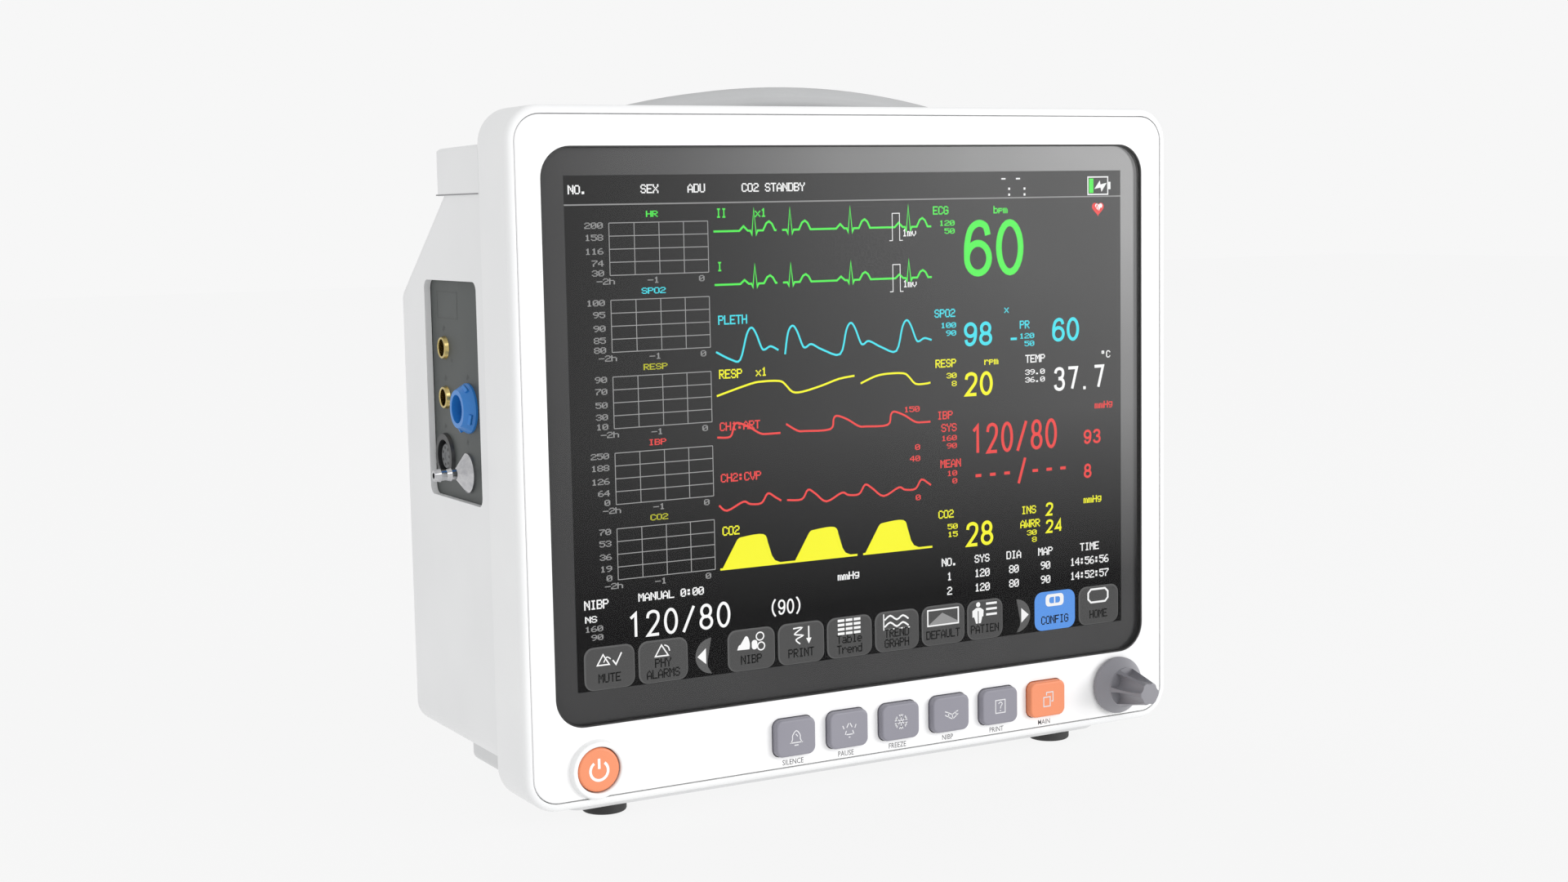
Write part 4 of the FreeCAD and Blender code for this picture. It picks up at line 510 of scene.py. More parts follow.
def drawPulse():
    pulse = ((-4.9, 11.7), (-2.0, 2.6), (0, 0), (1.9, 2.1), (4.2, 7.6), (5.6, 8.4), (8.1, 7.3))
    crest = 56.8
    addText("cyan", "PLETH", 60.3, 55.2, 3.4)
    addTrace("cyan", smooth([(59.2, 65.2), (65.4, 68.3)] + wave(pulse, 74.1, crest) + [(85.5, 65.7)], 4))
    addTrace("cyan", smooth([(88.3, 67.4)] + wave(pulse[1:], 91.7, crest) + [(104.5, 66.4)]
                            + wave(pulse, 117.2, crest) + [(131.0, 66.8)]
                            + wave(pulse, 142.4, crest) + [(153.8, 65.0)], 4))


def drawBreath():
    breath = ((-18.3, -3.9), (-12.7, -4.6), (-5.6, -4.4), (-3.1, -3.0), (0, 0), (4.4, 0.2))
    trough = 81.7
    addText("yellow", "RESP", 60.2, 75.2, 3.4)
    addText("yellow", "x1", 75.6, 75.0, 3.2)
    addTrace("yellow", smooth([(59.1, 81.5)] + wave(breath, 91.2, trough)
                              + [(104.2, 80.0), (111.6, 77.9), (118.5, 77.1)], 3))
    addTrace("yellow", smooth([(121.2, 80.2)] + wave(breath, 146.1, trough) + [(153.0, 81.6)], 3))


def drawPressures():
    artery = ((0, 0), (1.6, -3.9), (3.3, -4.9), (7.8, -3.2), (12.6, -0.4), (16.0, 0))
    vein = ((-17.4, 5.1), (-10.5, 2.3), (-7.6, 3.4), (-2.8, 3.4), (0, 0), (3.2, 1.7))
    foot, crest = 96.9, 119.4
    for words, y in (("CH1:ART", 94.6), ("CH2:CVP", 113.8)):
        addText("red", words, 60.0, y, 3.2)
    for words, y in (("150", 92.6), ("40", 112.0), ("0", 107.6), ("0", 127.4)):
        addText("red", words, 148.0, y, screen["short"], 1.0)
    addTrace("red", smooth([(58.9, foot)] + wave(artery, 64.4, foot) + [(85.7, foot)], 4))
    addTrace("red", smooth(wave(artery[3:], 80.4, foot) + wave(artery, 107.4, foot)
                           + wave(artery, 133.1, foot) + [(152.8, foot)], 4))
    addTrace("red", smooth([(59.1, 122.3)] + wave(vein, 79.8, crest) + [(85.5, 122.6)], 4))
    addTrace("red", smooth([(88.0, 122.6)] + wave(vein[3:], 97.2, crest) + wave(vein, 122.6, crest)
                           + wave(vein, 148.3, crest) + [(152.7, 121.9)], 4))


def drawGas():
    addText("yellow", "CO2", 60.2, 133.8, 3.4)
    base = 146.7
    hump = smooth([(0, 0), (2.4, -0.8), (4.0, -5.0), (6.6, -10.6), (9.6, -11.8), (18.0, -12.0),
                   (20.0, -8.0), (22.0, -2.4), (25.0, -0.7), (27.0, 0)], 4)
    for start in (59.6, 90.6, 121.8):
        addFill("yellow", [(start + a, base + b) for a, b in hump])
    for left, right in ((59.0, 118.6), (121.2, 153.0)):
        addLine("yellow", [(left, base - 0.3), (right, base - 0.3)], 0.8, 0.06)
    addText("white", "mmHg", 109.6, 155.6, 3.0)


def drawReadings():
    for words, colour, x, y in (("ECG", "green", 155.0, 16.4), ("SPO2", "cyan", 155.2, 56.4),
                                ("RESP", "yellow", 155.4, 76.0), ("IBP", "red", 156.0, 96.4),
                                ("CO2", "yellow", 156.0, 135.6), ("TEMP", "white", 198.2, 76.2),
                                ("PR", "cyan", 195.6, 62.4), ("SYS", "red", 157.8, 101.4),
                                ("MEAN", "red", 157.2, 115.6), ("INS", "yellow", 195.8, 137.2),
                                ("AWRR", "yellow", 195.2, 142.8)):
        addText(colour, words, x, y, 3.2)
    for words, colour, x, y in (("bpm", "green", 183.4, 16.4), ("x", "cyan", 188.2, 55.8),
                                ("rpm", "yellow", 178.4, 76.0), ("mmHg", "red", 232.6, 96.6),
                                ("mmHg", "yellow", 226.8, 135.2), ("oC", "white", 236.2, 76.0)):
        addText(colour, words, x, y, 2.9, cell=2.3)
    limits = [("120", "50", "green", 165.2, 20.8, 3.1), ("100", "90", "cyan", 165.4, 60.6, 3.1),
              ("30", "8", "yellow", 165.4, 80.4, 3.2), ("39.0", "36.0", "white", 207.9, 81.0, 3.1),
              ("160", "90", "red", 165.2, 105.0, 3.1), ("10", "0", "red", 165.2, 119.0, 3.1),
              ("50", "15", "yellow", 165.2, 140.2, 3.1), ("120", "50", "cyan", 202.8, 66.4, 3.1),
              ("30", "8", "yellow", 203.4, 146.0, 2.9)]
    for high, low, colour, x, y, step in limits:
        addText(colour, high, x, y, 2.1, 1.0)
        addText(colour, low, x, y + step, 2.1, 1.0)
    figures = [("60", "green", 169.3, 18.8, 41.0, 15.2, 13.2, 2.7),
               ("98", "cyan", 168.9, 58.8, 68.3, 7.2, 6.2, 1.35),
               ("60", "cyan", 211.5, 58.8, 68.4, 7.2, 6.2, 1.35),
               ("20", "yellow", 169.0, 78.5, 88.1, 7.2, 6.2, 1.35),
               ("37.7", "white", 212.2, 78.7, 88.4, 6.6, 5.5, 1.25),
               ("120/80", "red", 171.8, 99.2, 111.4, 7.2, 5.8, 1.3),
               ("93", "red", 227.0, 105.0, 110.9, 4.7, 3.9, 0.95),
               ("8", "red", 227.0, 119.0, 124.9, 4.7, 3.9, 0.95),
               ("---/---", "red", 173.2, 114.0, 124.6, 6.9, 4.6, 1.2),
               ("28", "yellow", 169.0, 138.2, 148.1, 7.0, 6.0, 1.35),
               ("2", "yellow", 207.8, 133.4, 138.9, 4.4, 3.8, 0.9),
               ("24", "yellow", 207.8, 140.4, 146.0, 4.5, 3.8, 0.9)]
    for words, colour, *sizes in figures:
        addFigures(colour, words, *sizes)
    addRectangle("cyan", 191.2, 65.8, 194.2, 66.8)


def drawTable():
    columns = [("NO.", 161.0), ("SYS", 176.6), ("DIA", 192.0), ("MAP", 207.6), ("TIME", 229.8)]
    rows = [(154.8, [words for words, x in columns]), (160.6, ["1", "120", "80", "90", "14:56:56"]),
            (166.4, ["2", "120", "80", "90", "14:52:57"])]
    for y, cells in rows:
        for (title, x), cell in zip(columns, cells):
            addText("white", cell, x, y, 3.2, 0.5)


def drawCuffReading():
    addText("white", "NIBP", 3.4, 156.0, 3.4)
    addText("white", "NS", 3.6, 160.8, 2.4)
    addText("grey", "160", 10.8, 164.2, 2.1, 1.0)
    addText("grey", "90", 10.8, 167.4, 2.1, 1.0)
    addText("white", "MANUAL 0:00", 25.0, 155.0, 3.0)
    addFigures("white", "120/80", 20.6, 158.6, 168.4, 7.3, 5.7, 1.1)
    addFigures("white", "(90)", 79.4, 160.4, 166.2, 3.8, 3.2, 0.7)


drawHeader()
drawBattery()
drawHeart()
drawTrends()
drawCardiac()
drawPulse()
drawBreath()
drawPressures()
drawGas()
drawReadings()
drawTable()
drawCuffReading()
print("picture drawn")

# Soft buttons along the bottom of the picture
softRow = {"top": 170.0, "bottom": 187.0, "round": 3.6, "rim": 0.7, "wide": 20.2, "margin": 0.1,
           "rimLift": 0.03, "faceLift": 0.04, "signLift": 0.06, "oneLine": 183.4, "twoLines": 180.4,
           "lineStep": 4.0, "tall": 3.4, "cell": 2.3}
softArrow = {"y": 178.4, "up": 6.8, "outer": 7.0, "inner": 2.4, "tip": 6.2, "root": 2.6, "half": 3.0}


def drawButton(left, words, face="button", rim="buttonRim", right=None):
    right = right or left + softRow["wide"]
    top, bottom, edge = softRow["top"], softRow["bottom"], softRow["rim"]
    bottom = min(bottom, screen["height"] - softRow["margin"])
    addRounded(rim, left, top, right, bottom, softRow["round"], softRow["rimLift"])
    addRounded(face, left + edge, top + edge, right - edge / 2, bottom - edge / 3,
               softRow["round"] - edge / 2, softRow["faceLift"])
    lines = words.split("\n")
    middle = (left + right) / 2
    for i, line in enumerate(lines):
        y = softRow["oneLine"] if len(lines) == 1 else softRow["twoLines"] + softRow["lineStep"] * i
        addText("dark", line, middle, y, softRow["tall"], 0.5, softRow["cell"])
    return middle


def arrowHead(x, way):
    # a crescent with an arrow on it, pointing left (-1) or right (1)
    y, root = softArrow["y"], x + way * softArrow["root"]
    outer = oval(x, y, way * softArrow["outer"], softArrow["up"], -84, 84, 12)
    inner = oval(x, y, way * softArrow["inner"], softArrow["up"], 84, -84, 12)
    addFill("buttonRim", outer + inner)
    addFill("white", [(x + way * softArrow["tip"], y), (root, y - softArrow["half"]),
                      (root, y + softArrow["half"])], softRow["signLift"])


def drawAlarmButtons():
    mute = drawButton(2.7, "MUTE")
    addLine("white", [(mute - 4.9, 176.8), (mute - 2.5, 173.0), (mute - 0.1, 176.8),
                      (mute - 4.9, 176.8)], 0.5)
    addLine("white", smooth([(mute - 2.3, 175.9), (mute - 1.0, 174.0), (mute + 0.5, 174.9)], 3), 0.4)
    addLine("white", [(mute + 1.3, 175.4), (mute + 2.6, 177.1), (mute + 4.9, 172.9)], 0.55)
    alarms = drawButton(24.4, "PHY\nALARMS")
    addLine("white", [(alarms - 3.2, 176.2), (alarms - 0.6, 172.1), (alarms + 2.1, 176.2),
                      (alarms - 3.2, 176.2)], 0.5)
    addLine("white", smooth([(alarms + 0.6, 172.2), (alarms + 2.1, 173.0), (alarms + 2.7, 174.6)], 3), 0.45)


def drawListButtons():
    cuff = drawButton(61.3, "NIBP")
    addFill("white", smooth([(cuff - 6.0, 177.8), (cuff - 5.2, 176.0), (cuff - 3.2, 175.6),
                             (cuff - 2.6, 173.0), (cuff - 1.4, 173.2), (cuff - 0.6, 175.8),
                             (cuff - 0.8, 177.9)], 3), 0.06)
    addLine("white", oval(cuff + 3.8, 173.4, 1.6, 1.5), 0.5, 0.06)
    addRounded("white", cuff + 0.2, 174.6, cuff + 2.6, 178.2, 1.1, 0.06)
    addLine("white", oval(cuff + 4.2, 177.2, 1.5, 1.5), 0.5, 0.06)
    printer = drawButton(82.9, "PRINT")
    addLine("white", smooth([(printer - 3.4, 172.2), (printer + 0.4, 172.2), (printer - 2.8, 174.4),
                             (printer + 0.8, 175.2), (printer - 2.2, 176.6),
                             (printer - 0.4, 178.4)], 4), 0.55)
    addLine("white", [(printer + 3.4, 171.8), (printer + 3.4, 177.6)], 0.6)
    addFill("white", [(printer + 2.2, 176.4), (printer + 4.6, 176.4), (printer + 3.4, 178.6)], 0.06)
    table = drawButton(104.4, "Table\nTrend")
    for row in range(4):
        for column in range(3):
            addRectangle("white", table - 5.2 + 3.6 * column, 170.9 + 1.7 * row,
                         table - 2.2 + 3.6 * column, 171.9 + 1.7 * row, 0.06)
    graph = drawButton(126.0, "TREND\nGRAPH")
    addLine("white", [(graph - 6.0, 171.0), (graph - 6.0, 177.2), (graph + 6.0, 177.2)], 0.45, 0.06)
    for shift in (0, 2.7):
        addLine("white", smooth([(graph - 5.6, 173.4 + shift), (graph - 3.0, 171.8 + shift),
                                 (graph, 173.6 + shift), (graph + 2.8, 172.2 + shift),
                                 (graph + 5.4, 173.8 + shift)], 3), 0.7, 0.07)
    usual = drawButton(147.6, "DEFAULT")
    addLine("white", [(usual - 7.2, 171.8), (usual + 7.2, 171.8), (usual + 7.2, 178.0),
                      (usual - 7.2, 178.0), (usual - 7.2, 171.8)], 0.6, 0.06)
    addFill("grey", [(usual - 6.8, 177.6), (usual - 0.4, 173.2), (usual + 6.8, 177.0),
                     (usual + 6.8, 177.7)], 0.06)
    person = drawButton(169.1, "PATIEN", right=186.2)
    addRounded("white", person - 4.2, 170.8, person - 2.2, 172.8, 1.0, 0.06)
    addFill("white", [(person - 6.0, 174.2), (person - 4.2, 173.1), (person - 2.2, 173.1),
                      (person - 0.6, 174.2), (person - 0.8, 176.8), (person - 1.8, 176.6),
                      (person - 2.0, 179.4), (person - 4.3, 179.4), (person - 4.6, 176.6),
                      (person - 6.0, 176.8)], 0.06)
    addRectangle("dark", person - 3.4, 174.4, person - 3.0, 179.4, 0.07)
    for y in (171.8, 174.0, 176.2):
        addLine("white", [(person + 0.6, y), (person + 5.8, y)], 0.9, 0.06)


def drawSetUpButtons():
    setUp = drawButton(202.0, "CONFIG", "blue", "blue")
    addRounded("white", setUp - 4.6, 171.2, setUp + 4.4, 176.2, 1.6, 0.06)
    addRounded("blue", setUp - 2.8, 172.4, setUp + 2.6, 175.0, 1.0, 0.08)
    addRectangle("white", setUp - 0.4, 172.4, setUp + 0.2, 175.0, 0.09)
    home = drawButton(224.1, "HOME")
    addLine("white", [(home - 3.8, 171.4), (home + 3.4, 171.4), (home + 4.8, 172.8),
                      (home + 4.8, 175.4), (home + 3.4, 176.8), (home - 3.8, 176.8),
                      (home - 5.2, 175.4), (home - 5.2, 172.8), (home - 3.8, 171.4)], 0.8, 0.06)


drawAlarmButtons()
arrowHead(54.8, -1)
drawListButtons()
arrowHead(192.8, 1)
drawSetUpButtons()
for name, layer in layers.items():
    pieceFrom(layer, "picture" + name.capitalize(), inks[name])
print("soft buttons drawn")

# Everything between here and the studio is printed or fitted on the designed pieces. Each plan is in
# millimetres from a middle point, x to the viewer's right and y down.
def frontPlan(middle):
    return lambda x, y, lift: Vector((middle[0] + x * mm, middle[1] - lift * mm, middle[2] - y * mm))


def leftPlan(middle):
    return lambda x, y, lift: Vector((middle[0] - lift * mm, middle[1] - x * mm, middle[2] - y * mm))


def backPlan(middle):
    return lambda x, y, lift: Vector((middle[0] - x * mm, middle[1] + lift * mm, middle[2] - y * mm))


def frontOf(name):
    low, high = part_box(name)
    return ((low[0] + high[0]) / 2, low[1], (low[2] + high[2]) / 2)


keyMarks = {"line": 0.42, "lift": 0.04, "labelDrop": 10.9, "labelHeight": 2.15, "labelNarrow": 0.86}
keyInk = mouldedPlastic("keyInk", (0.72, 0.72, 0.74), (0.66, 0.66, 0.68), 0.5)
labelInk = mouldedPlastic("labelInk", (0.12, 0.12, 0.125), (0.1, 0.1, 0.105), 0.55)
powerInk = mouldedPlastic("powerInk", (0.93, 0.9, 0.88), (0.88, 0.86, 0.84), 0.45)

keyIcons = {
    # a bell on its base
    "key_silence": [smooth([(-2.4, 1.9), (-1.7, 0.6), (-1.6, -1.0), (0.0, -2.7), (1.6, -1.0), (1.7, 0.6),
                            (2.4, 1.9)], 3), [(-2.8, 1.9), (2.8, 1.9)], [(-0.9, 2.9), (0.9, 2.9)],
                    [(-0.2, -1.4), (0.6, -0.4)]],
    # a bell in broken lines, with rays at its sides
    "key_pause": [[(-1.9, 1.9), (-1.4, 0.4)], [(-1.2, -0.8), (-0.3, -2.5)], [(0.3, -2.5), (1.2, -0.8)],
                  [(1.4, 0.4), (1.9, 1.9)], [(-1.4, 1.9), (1.4, 1.9)], [(-3.0, -1.8), (-2.4, -0.4)],
                  [(3.0, -1.8), (2.4, -0.4)], [(-0.4, 3.0), (0.4, 3.0)]],
    # a snowflake
    "key_freeze": [[(0, -3.0), (0, 3.0)], [(-2.6, -1.5), (2.6, 1.5)], [(-2.6, 1.5), (2.6, -1.5)],
                   [(-0.9, -2.8), (0, -1.9), (0.9, -2.8)], [(-0.9, 2.8), (0, 1.9), (0.9, 2.8)],
                   [(-2.9, -0.5), (-1.7, -0.9), (-2.0, -2.2)], [(2.9, 0.5), (1.7, 0.9), (2.0, 2.2)],
                   [(-2.9, 0.5), (-1.7, 0.9), (-2.0, 2.2)], [(2.9, -0.5), (1.7, -0.9), (2.0, -2.2)]],
    # a pressure cuff on an arm
    "key_cuff": [smooth([(-3.0, -1.2), (-1.4, -0.6), (0.4, 0.2), (2.0, -0.6), (3.2, -1.0)], 3),
                 smooth([(-3.0, 0.2), (-1.2, 1.2), (0.6, 1.9), (2.4, 0.8), (3.2, 0.2)], 3),
                 [(-1.4, -0.6), (-1.2, 1.2)], [(0.4, 0.2), (0.6, 1.9)], [(2.0, -0.6), (2.4, 0.8)]],
    # a sheet with a curled trace
    "key_print": [[(-2.3, -2.6), (2.3, -2.6), (2.3, 2.6), (-2.3, 2.6), (-2.3, -2.6)],
                  smooth([(-0.9, -1.1), (0.0, -1.8), (0.9, -1.0), (0.2, 0.0), (0.0, 0.9)], 3),
                  [(-0.3, 1.7), (0.3, 1.7)]],
    # two sheets, one behind the other
    "key_menu": [[(-2.2, -0.9), (1.0, -0.9), (1.0, 2.9), (-2.2, 2.9), (-2.2, -0.9)],
                 [(-0.8, -1.6), (-0.8, -2.8), (2.4, -2.8), (2.4, 1.0), (1.6, 1.0)]],
}
keyLabels = {"key_silence": "SILENCE", "key_pause": "PAUSE", "key_freeze": "FREEZE",
             "key_cuff": "NIBP", "key_print": "PRINT", "key_menu": "MAIN"}

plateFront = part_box("face_plate")[0][1]
labels = bmesh.new()
for name, lines in keyIcons.items():
    face = frontOf(name)
    icon = bmesh.new()
    for line in lines:
        ribbon(icon, frontPlan(face), line, keyMarks["line"], keyMarks["lift"])
    pieceFrom(icon, name + "_icon", keyInk, name)
    plainLetters(labels, frontPlan((face[0], plateFront, face[2])), keyLabels[name], 0,
                 keyMarks["labelDrop"], keyMarks["labelHeight"], keyMarks["labelNarrow"], 0.004, 0.03)
pieceFrom(labels, "key_labels", labelInk)

powerMark = {"radius": 3.5, "line": 1.05, "gap": 34}
icon = bmesh.new()
power = frontPlan(frontOf("power_button"))
ribbon(icon, power, oval(0, 0.3, powerMark["radius"], powerMark["radius"], 90 + powerMark["gap"],
                         450 - powerMark["gap"], 8), powerMark["line"], 0.04)
ribbon(icon, power, [(0, -4.2), (0, -0.4)], powerMark["line"], 0.04)
pieceFrom(icon, "power_icon", powerInk, "power_button")
print("keys marked")

# The side panel: a framed blank field, marks beside the fittings, ribs on the blue socket, and the
# island of the round connector. A fitting's place is its distance behind the front, and its height.
sidePanel = {"fieldLow": 185.5, "fieldHigh": 195.5, "fieldFront": 62, "fieldBack": 83, "line": 0.35,
             "lift": 0.05, "bigRise": 11.6, "jackRise": 7.4, "stroke": 0.5, "thinStroke": 0.4,
             "dot": 0.75}
jacks = {"upper": (76.5, 174.2), "lower": (76.5, 155.2)}
sockets = {"round": (78, 132.5), "blue": (53, 152.6), "nozzle": (55, 128.1)}
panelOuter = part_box("connector_panel")[0][0]


def sideAt(along, height):
    return (panelOuter, (along + designFrom["y"]) * mm, height * mm)


panelInk = mouldedPlastic("panelInk", (0.045, 0.05, 0.048), (0.06, 0.065, 0.06), 0.5)
field = bmesh.new()
middle = ((sidePanel["fieldFront"] + sidePanel["fieldBack"]) / 2,
          (sidePanel["fieldLow"] + sidePanel["fieldHigh"]) / 2)
halfWide = (sidePanel["fieldBack"] - sidePanel["fieldFront"]) / 2
halfTall = (sidePanel["fieldHigh"] - sidePanel["fieldLow"]) / 2
ribbon(field, leftPlan(sideAt(*middle)), [(-halfWide, -halfTall), (halfWide, -halfTall),
                                          (halfWide, halfTall), (-halfWide, halfTall),
                                          (-halfWide, -halfTall)], sidePanel["line"], sidePanel["lift"])


def strokesAbove(place, rise):
    plan = leftPlan(sideAt(*place))
    ribbon(field, plan, [(-0.2, -rise - 1.0), (-1.4, -rise + 0.8)], sidePanel["stroke"], sidePanel["lift"])
    ribbon(field, plan, [(0.7, -rise - 0.6), (-0.3, -rise + 0.9)], sidePanel["thinStroke"],
           sidePanel["lift"])


for place in jacks.values():
    strokesAbove(place, sidePanel["jackRise"])
    filled(field, leftPlan(sideAt(*place)), oval(6.6, 4.6, sidePanel["dot"], sidePanel["dot"], 0, 330, 30),
           sidePanel["lift"])
for place in sockets.values():
    strokesAbove(place, sidePanel["bigRise"])
pieceFrom(field, "panel_print", panelInk)

# ribs lie on the blue socket's sloping collar; from and to are distances off the panel
socketRibs = {"count": 4, "first": 25, "wide": 4.2, "thick": 1.4, "radius": 8.15, "from": 0.9,
              "to": 3.2, "round": 0.25, "slope": 30}
ribs = bmesh.new()
for i in range(socketRibs["count"]):
    made = bmesh.ops.create_cube(ribs, size=1)["verts"]
    bmesh.ops.scale(ribs, verts=made, vec=((socketRibs["to"] - socketRibs["from"]) * mm,
                                           socketRibs["wide"] * mm, socketRibs["thick"] * mm))
    edges = list({e for v in made for e in v.link_edges})
    rounded = bmesh.ops.bevel(ribs, geom=edges, offset=socketRibs["round"] * mm, segments=2,
                              profile=0.5, affect="EDGES", material=-1)
    made = list({v for f in rounded["faces"] for v in f.verts} | {v for v in made if v.is_valid})
    lean = Matrix.Rotation(math.radians(socketRibs["slope"]), 4, "Y")
    out = Matrix.Translation((-(socketRibs["from"] + socketRibs["to"]) / 2 * mm, 0,
                              socketRibs["radius"] * mm))
    spin = Matrix.Rotation(math.radians(socketRibs["first"] + 360 * i / socketRibs["count"]), 4, "X")
    bmesh.ops.transform(ribs, matrix=Matrix.Translation(sideAt(*sockets["blue"])) @ spin @ out @ lean,
                        verts=made)
pieceFrom(ribs, "socket_ribs", finishes["socketBlue"])

# the round connector's island: a turned disc with seven sockets, standing up inside the shell
island = {"radius": 4.9, "edge": 0.4, "below": 1.0, "dish": 0.3, "dishFloor": 1.4, "dishRim": 1.8,
          "pins": 7, "circle": 3.3, "pin": 0.62, "lift": 0.03, "steps": 48}
coreLow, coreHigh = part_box("probe_core")
islandMiddle = Vector((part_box("probe_socket")[0][0] + island["below"] * mm, (coreLow[1] + coreHigh[1]) / 2,
                       (coreLow[2] + coreHigh[2]) / 2))
deep = (coreLow[0] - islandMiddle.x) / mm
turned = bmesh.new()
outline = [turned.verts.new((x * mm, 0, radius * mm))
           for x, radius in ((island["dish"], 0), (island["dish"], island["dishFloor"]),
                             (0, island["dishRim"]),
                             (0, island["radius"] - island["edge"]), (island["edge"], island["radius"]),
                             (deep, island["radius"]))]
profile = [turned.edges.new(pair) for pair in zip(outline, outline[1:])]
bmesh.ops.spin(turned, geom=outline + profile, axis=(1, 0, 0), cent=(0, 0, 0), steps=island["steps"],
               angle=2 * math.pi, use_merge=True)
bmesh.ops.remove_doubles(turned, verts=turned.verts, dist=1e-7)
bmesh.ops.translate(turned, verts=turned.verts, vec=islandMiddle)
pieceFrom(turned, "probe_island", finishes["insulator"])
# the seven sockets are flat black discs on the island's face: painted shade standing in for their holes
pins = bmesh.new()
plan = leftPlan(islandMiddle)
for i in range(island["pins"]):
    turn = 2 * math.pi * i / island["pins"]
    filled(pins, plan, oval(island["circle"] * math.cos(turn), island["circle"] * math.sin(turn),
                            island["pin"], island["pin"], 0, 345, 15), island["lift"])
pieceFrom(pins, "probe_sockets", finishes["softBlack"])

# a painted shadow line along the lower edge of the top cover's side, where the cover stands proud of the
# housing
shutLine = {"width": 0.5, "up": 0.35, "front": 3, "rear": 0.5, "lift": 0.03}
coverLow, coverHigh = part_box("top_cover")
# the grey of the painted shadow line under the top cover
shutLineShade = mouldedPlastic("shutLineShade", (0.3, 0.3, 0.31), (0.26, 0.26, 0.27), 0.6)
seam = bmesh.new()
half = (coverHigh[1] - coverLow[1]) / 2 / mm
ribbon(seam, leftPlan((coverLow[0], (coverLow[1] + coverHigh[1]) / 2,
                       coverLow[2] + shutLine["up"] * mm)),
       [(-half + shutLine["front"], 0), (half - shutLine["rear"], 0)], shutLine["width"],
       shutLine["lift"])
pieceFrom(seam, "cover_shadow_line", shutLineShade)
print("side panel fitted")

# The back: a blank rating plate and plain signs beside the fuses, the earth stud and the port
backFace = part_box("rear_housing")[1][1]
ratingPlate = {"wide": 62, "tall": 30, "round": 2, "x": 52, "z": 128, "lift": 0.05, "rule": 0.9,
               "ruleLift": 0.09, "firstRule": -10, "pitch": 5}
backMarks = {"line": 0.45, "thin": 0.35, "bar": 0.4, "lift": 0.06, "fuses": ((-30, 36), (-30, 56)),
             "stud": (-112, 58), "port": (10, 61), "ring": 3.2}
plateInk = mouldedPlastic("ratingPlate", (0.6, 0.61, 0.62), (0.56, 0.57, 0.58), 0.4)
rating = bmesh.new()
plan = backPlan((ratingPlate["x"] * mm, backFace, ratingPlate["z"] * mm))
roundedPlate(rating, plan, -ratingPlate["wide"] / 2, -ratingPlate["tall"] / 2, ratingPlate["wide"] / 2,
             ratingPlate["tall"] / 2, ratingPlate["round"], ratingPlate["lift"])
pieceFrom(rating, "rating_plate", plateInk)
ratingLines = bmesh.new()
for row, (left, right) in enumerate(((-27, 8), (-27, 20), (-27, -2), (-27, 14), (-27, 24))):
    y = ratingPlate["firstRule"] + ratingPlate["pitch"] * row
    ribbon(ratingLines, plan, [(left, y), (right, y)], ratingPlate["rule"], ratingPlate["ruleLift"])
ribbon(ratingLines, plan, [(22, -11), (28, -11), (28, -5), (22, -5), (22, -11)], 0.5,
       ratingPlate["ruleLift"])


def backMark(place, points, width=backMarks["line"]):
    across, height = place
    plan = backPlan(((across + designFrom["x"]) * mm, backFace, height * mm))
    ribbon(ratingLines, plan, points, width, backMarks["lift"])


def boxOutline(left, top, right, bottom):
    return [(left, top), (right, top), (right, bottom), (left, bottom), (left, top)]


for fuse in backMarks["fuses"]:
    backMark(fuse, boxOutline(-14.5, -1.4, -9.5, 1.4))
    backMark(fuse, [(-16, 0), (-8, 0)])
stud = backMarks["stud"]
backMark(stud, oval(0, 0, backMarks["ring"], backMarks["ring"]))
backMark(stud, [(0, -2.2), (0, 0.4)])
for half, y in ((1.9, 0.4), (1.2, 1.3), (0.5, 2.2)):
    backMark(stud, [(-half, y), (half, y)], backMarks["bar"])
port = backMarks["port"]
for x in (-3.2, 0, 3.2):
    backMark(port, boxOutline(x - 1, 1.6, x + 1, 3.2), backMarks["thin"])
    backMark(port, [(x, 0), (x, 1.6)], backMarks["thin"])
backMark(port, [(-3.2, 0), (3.2, 0)], backMarks["thin"])
pieceFrom(ratingLines, "back_marks", labelInk)
print("back marked")

# The black of the display and the dark print round it, just inside the back of the glass, each with a
# painted reflection of the room's light
def flatFrame(outer, outerMiddle, inner, innerMiddle, rounding, innerRounding):
    shape = bmesh.new()
    loops = []
    for size, middle, corner in ((outer, outerMiddle, rounding), (inner, innerMiddle, innerRounding)):
        plate = bmesh.new()
        bmesh.ops.create_grid(plate, x_segments=1, y_segments=1, size=0.5)
        bmesh.ops.transform(plate, matrix=Matrix.Diagonal((*size, 1, 1)), verts=plate.verts)
        bmesh.ops.bevel(plate, geom=plate.verts[:], offset=corner, segments=8, profile=0.5,
                        affect="VERTICES", material=-1)
        plate.faces.ensure_lookup_table()
        ring = [shape.verts.new((middle[0] + v.co.x, middle[1], middle[2] + v.co.y))
                for v in plate.faces[0].verts]
        loops.append([shape.edges.new((a, b)) for a, b in zip(ring, ring[1:] + ring[:1])])
        plate.free()
    bmesh.ops.bridge_loops(shape, edges=loops[0] + loops[1])
    return shape


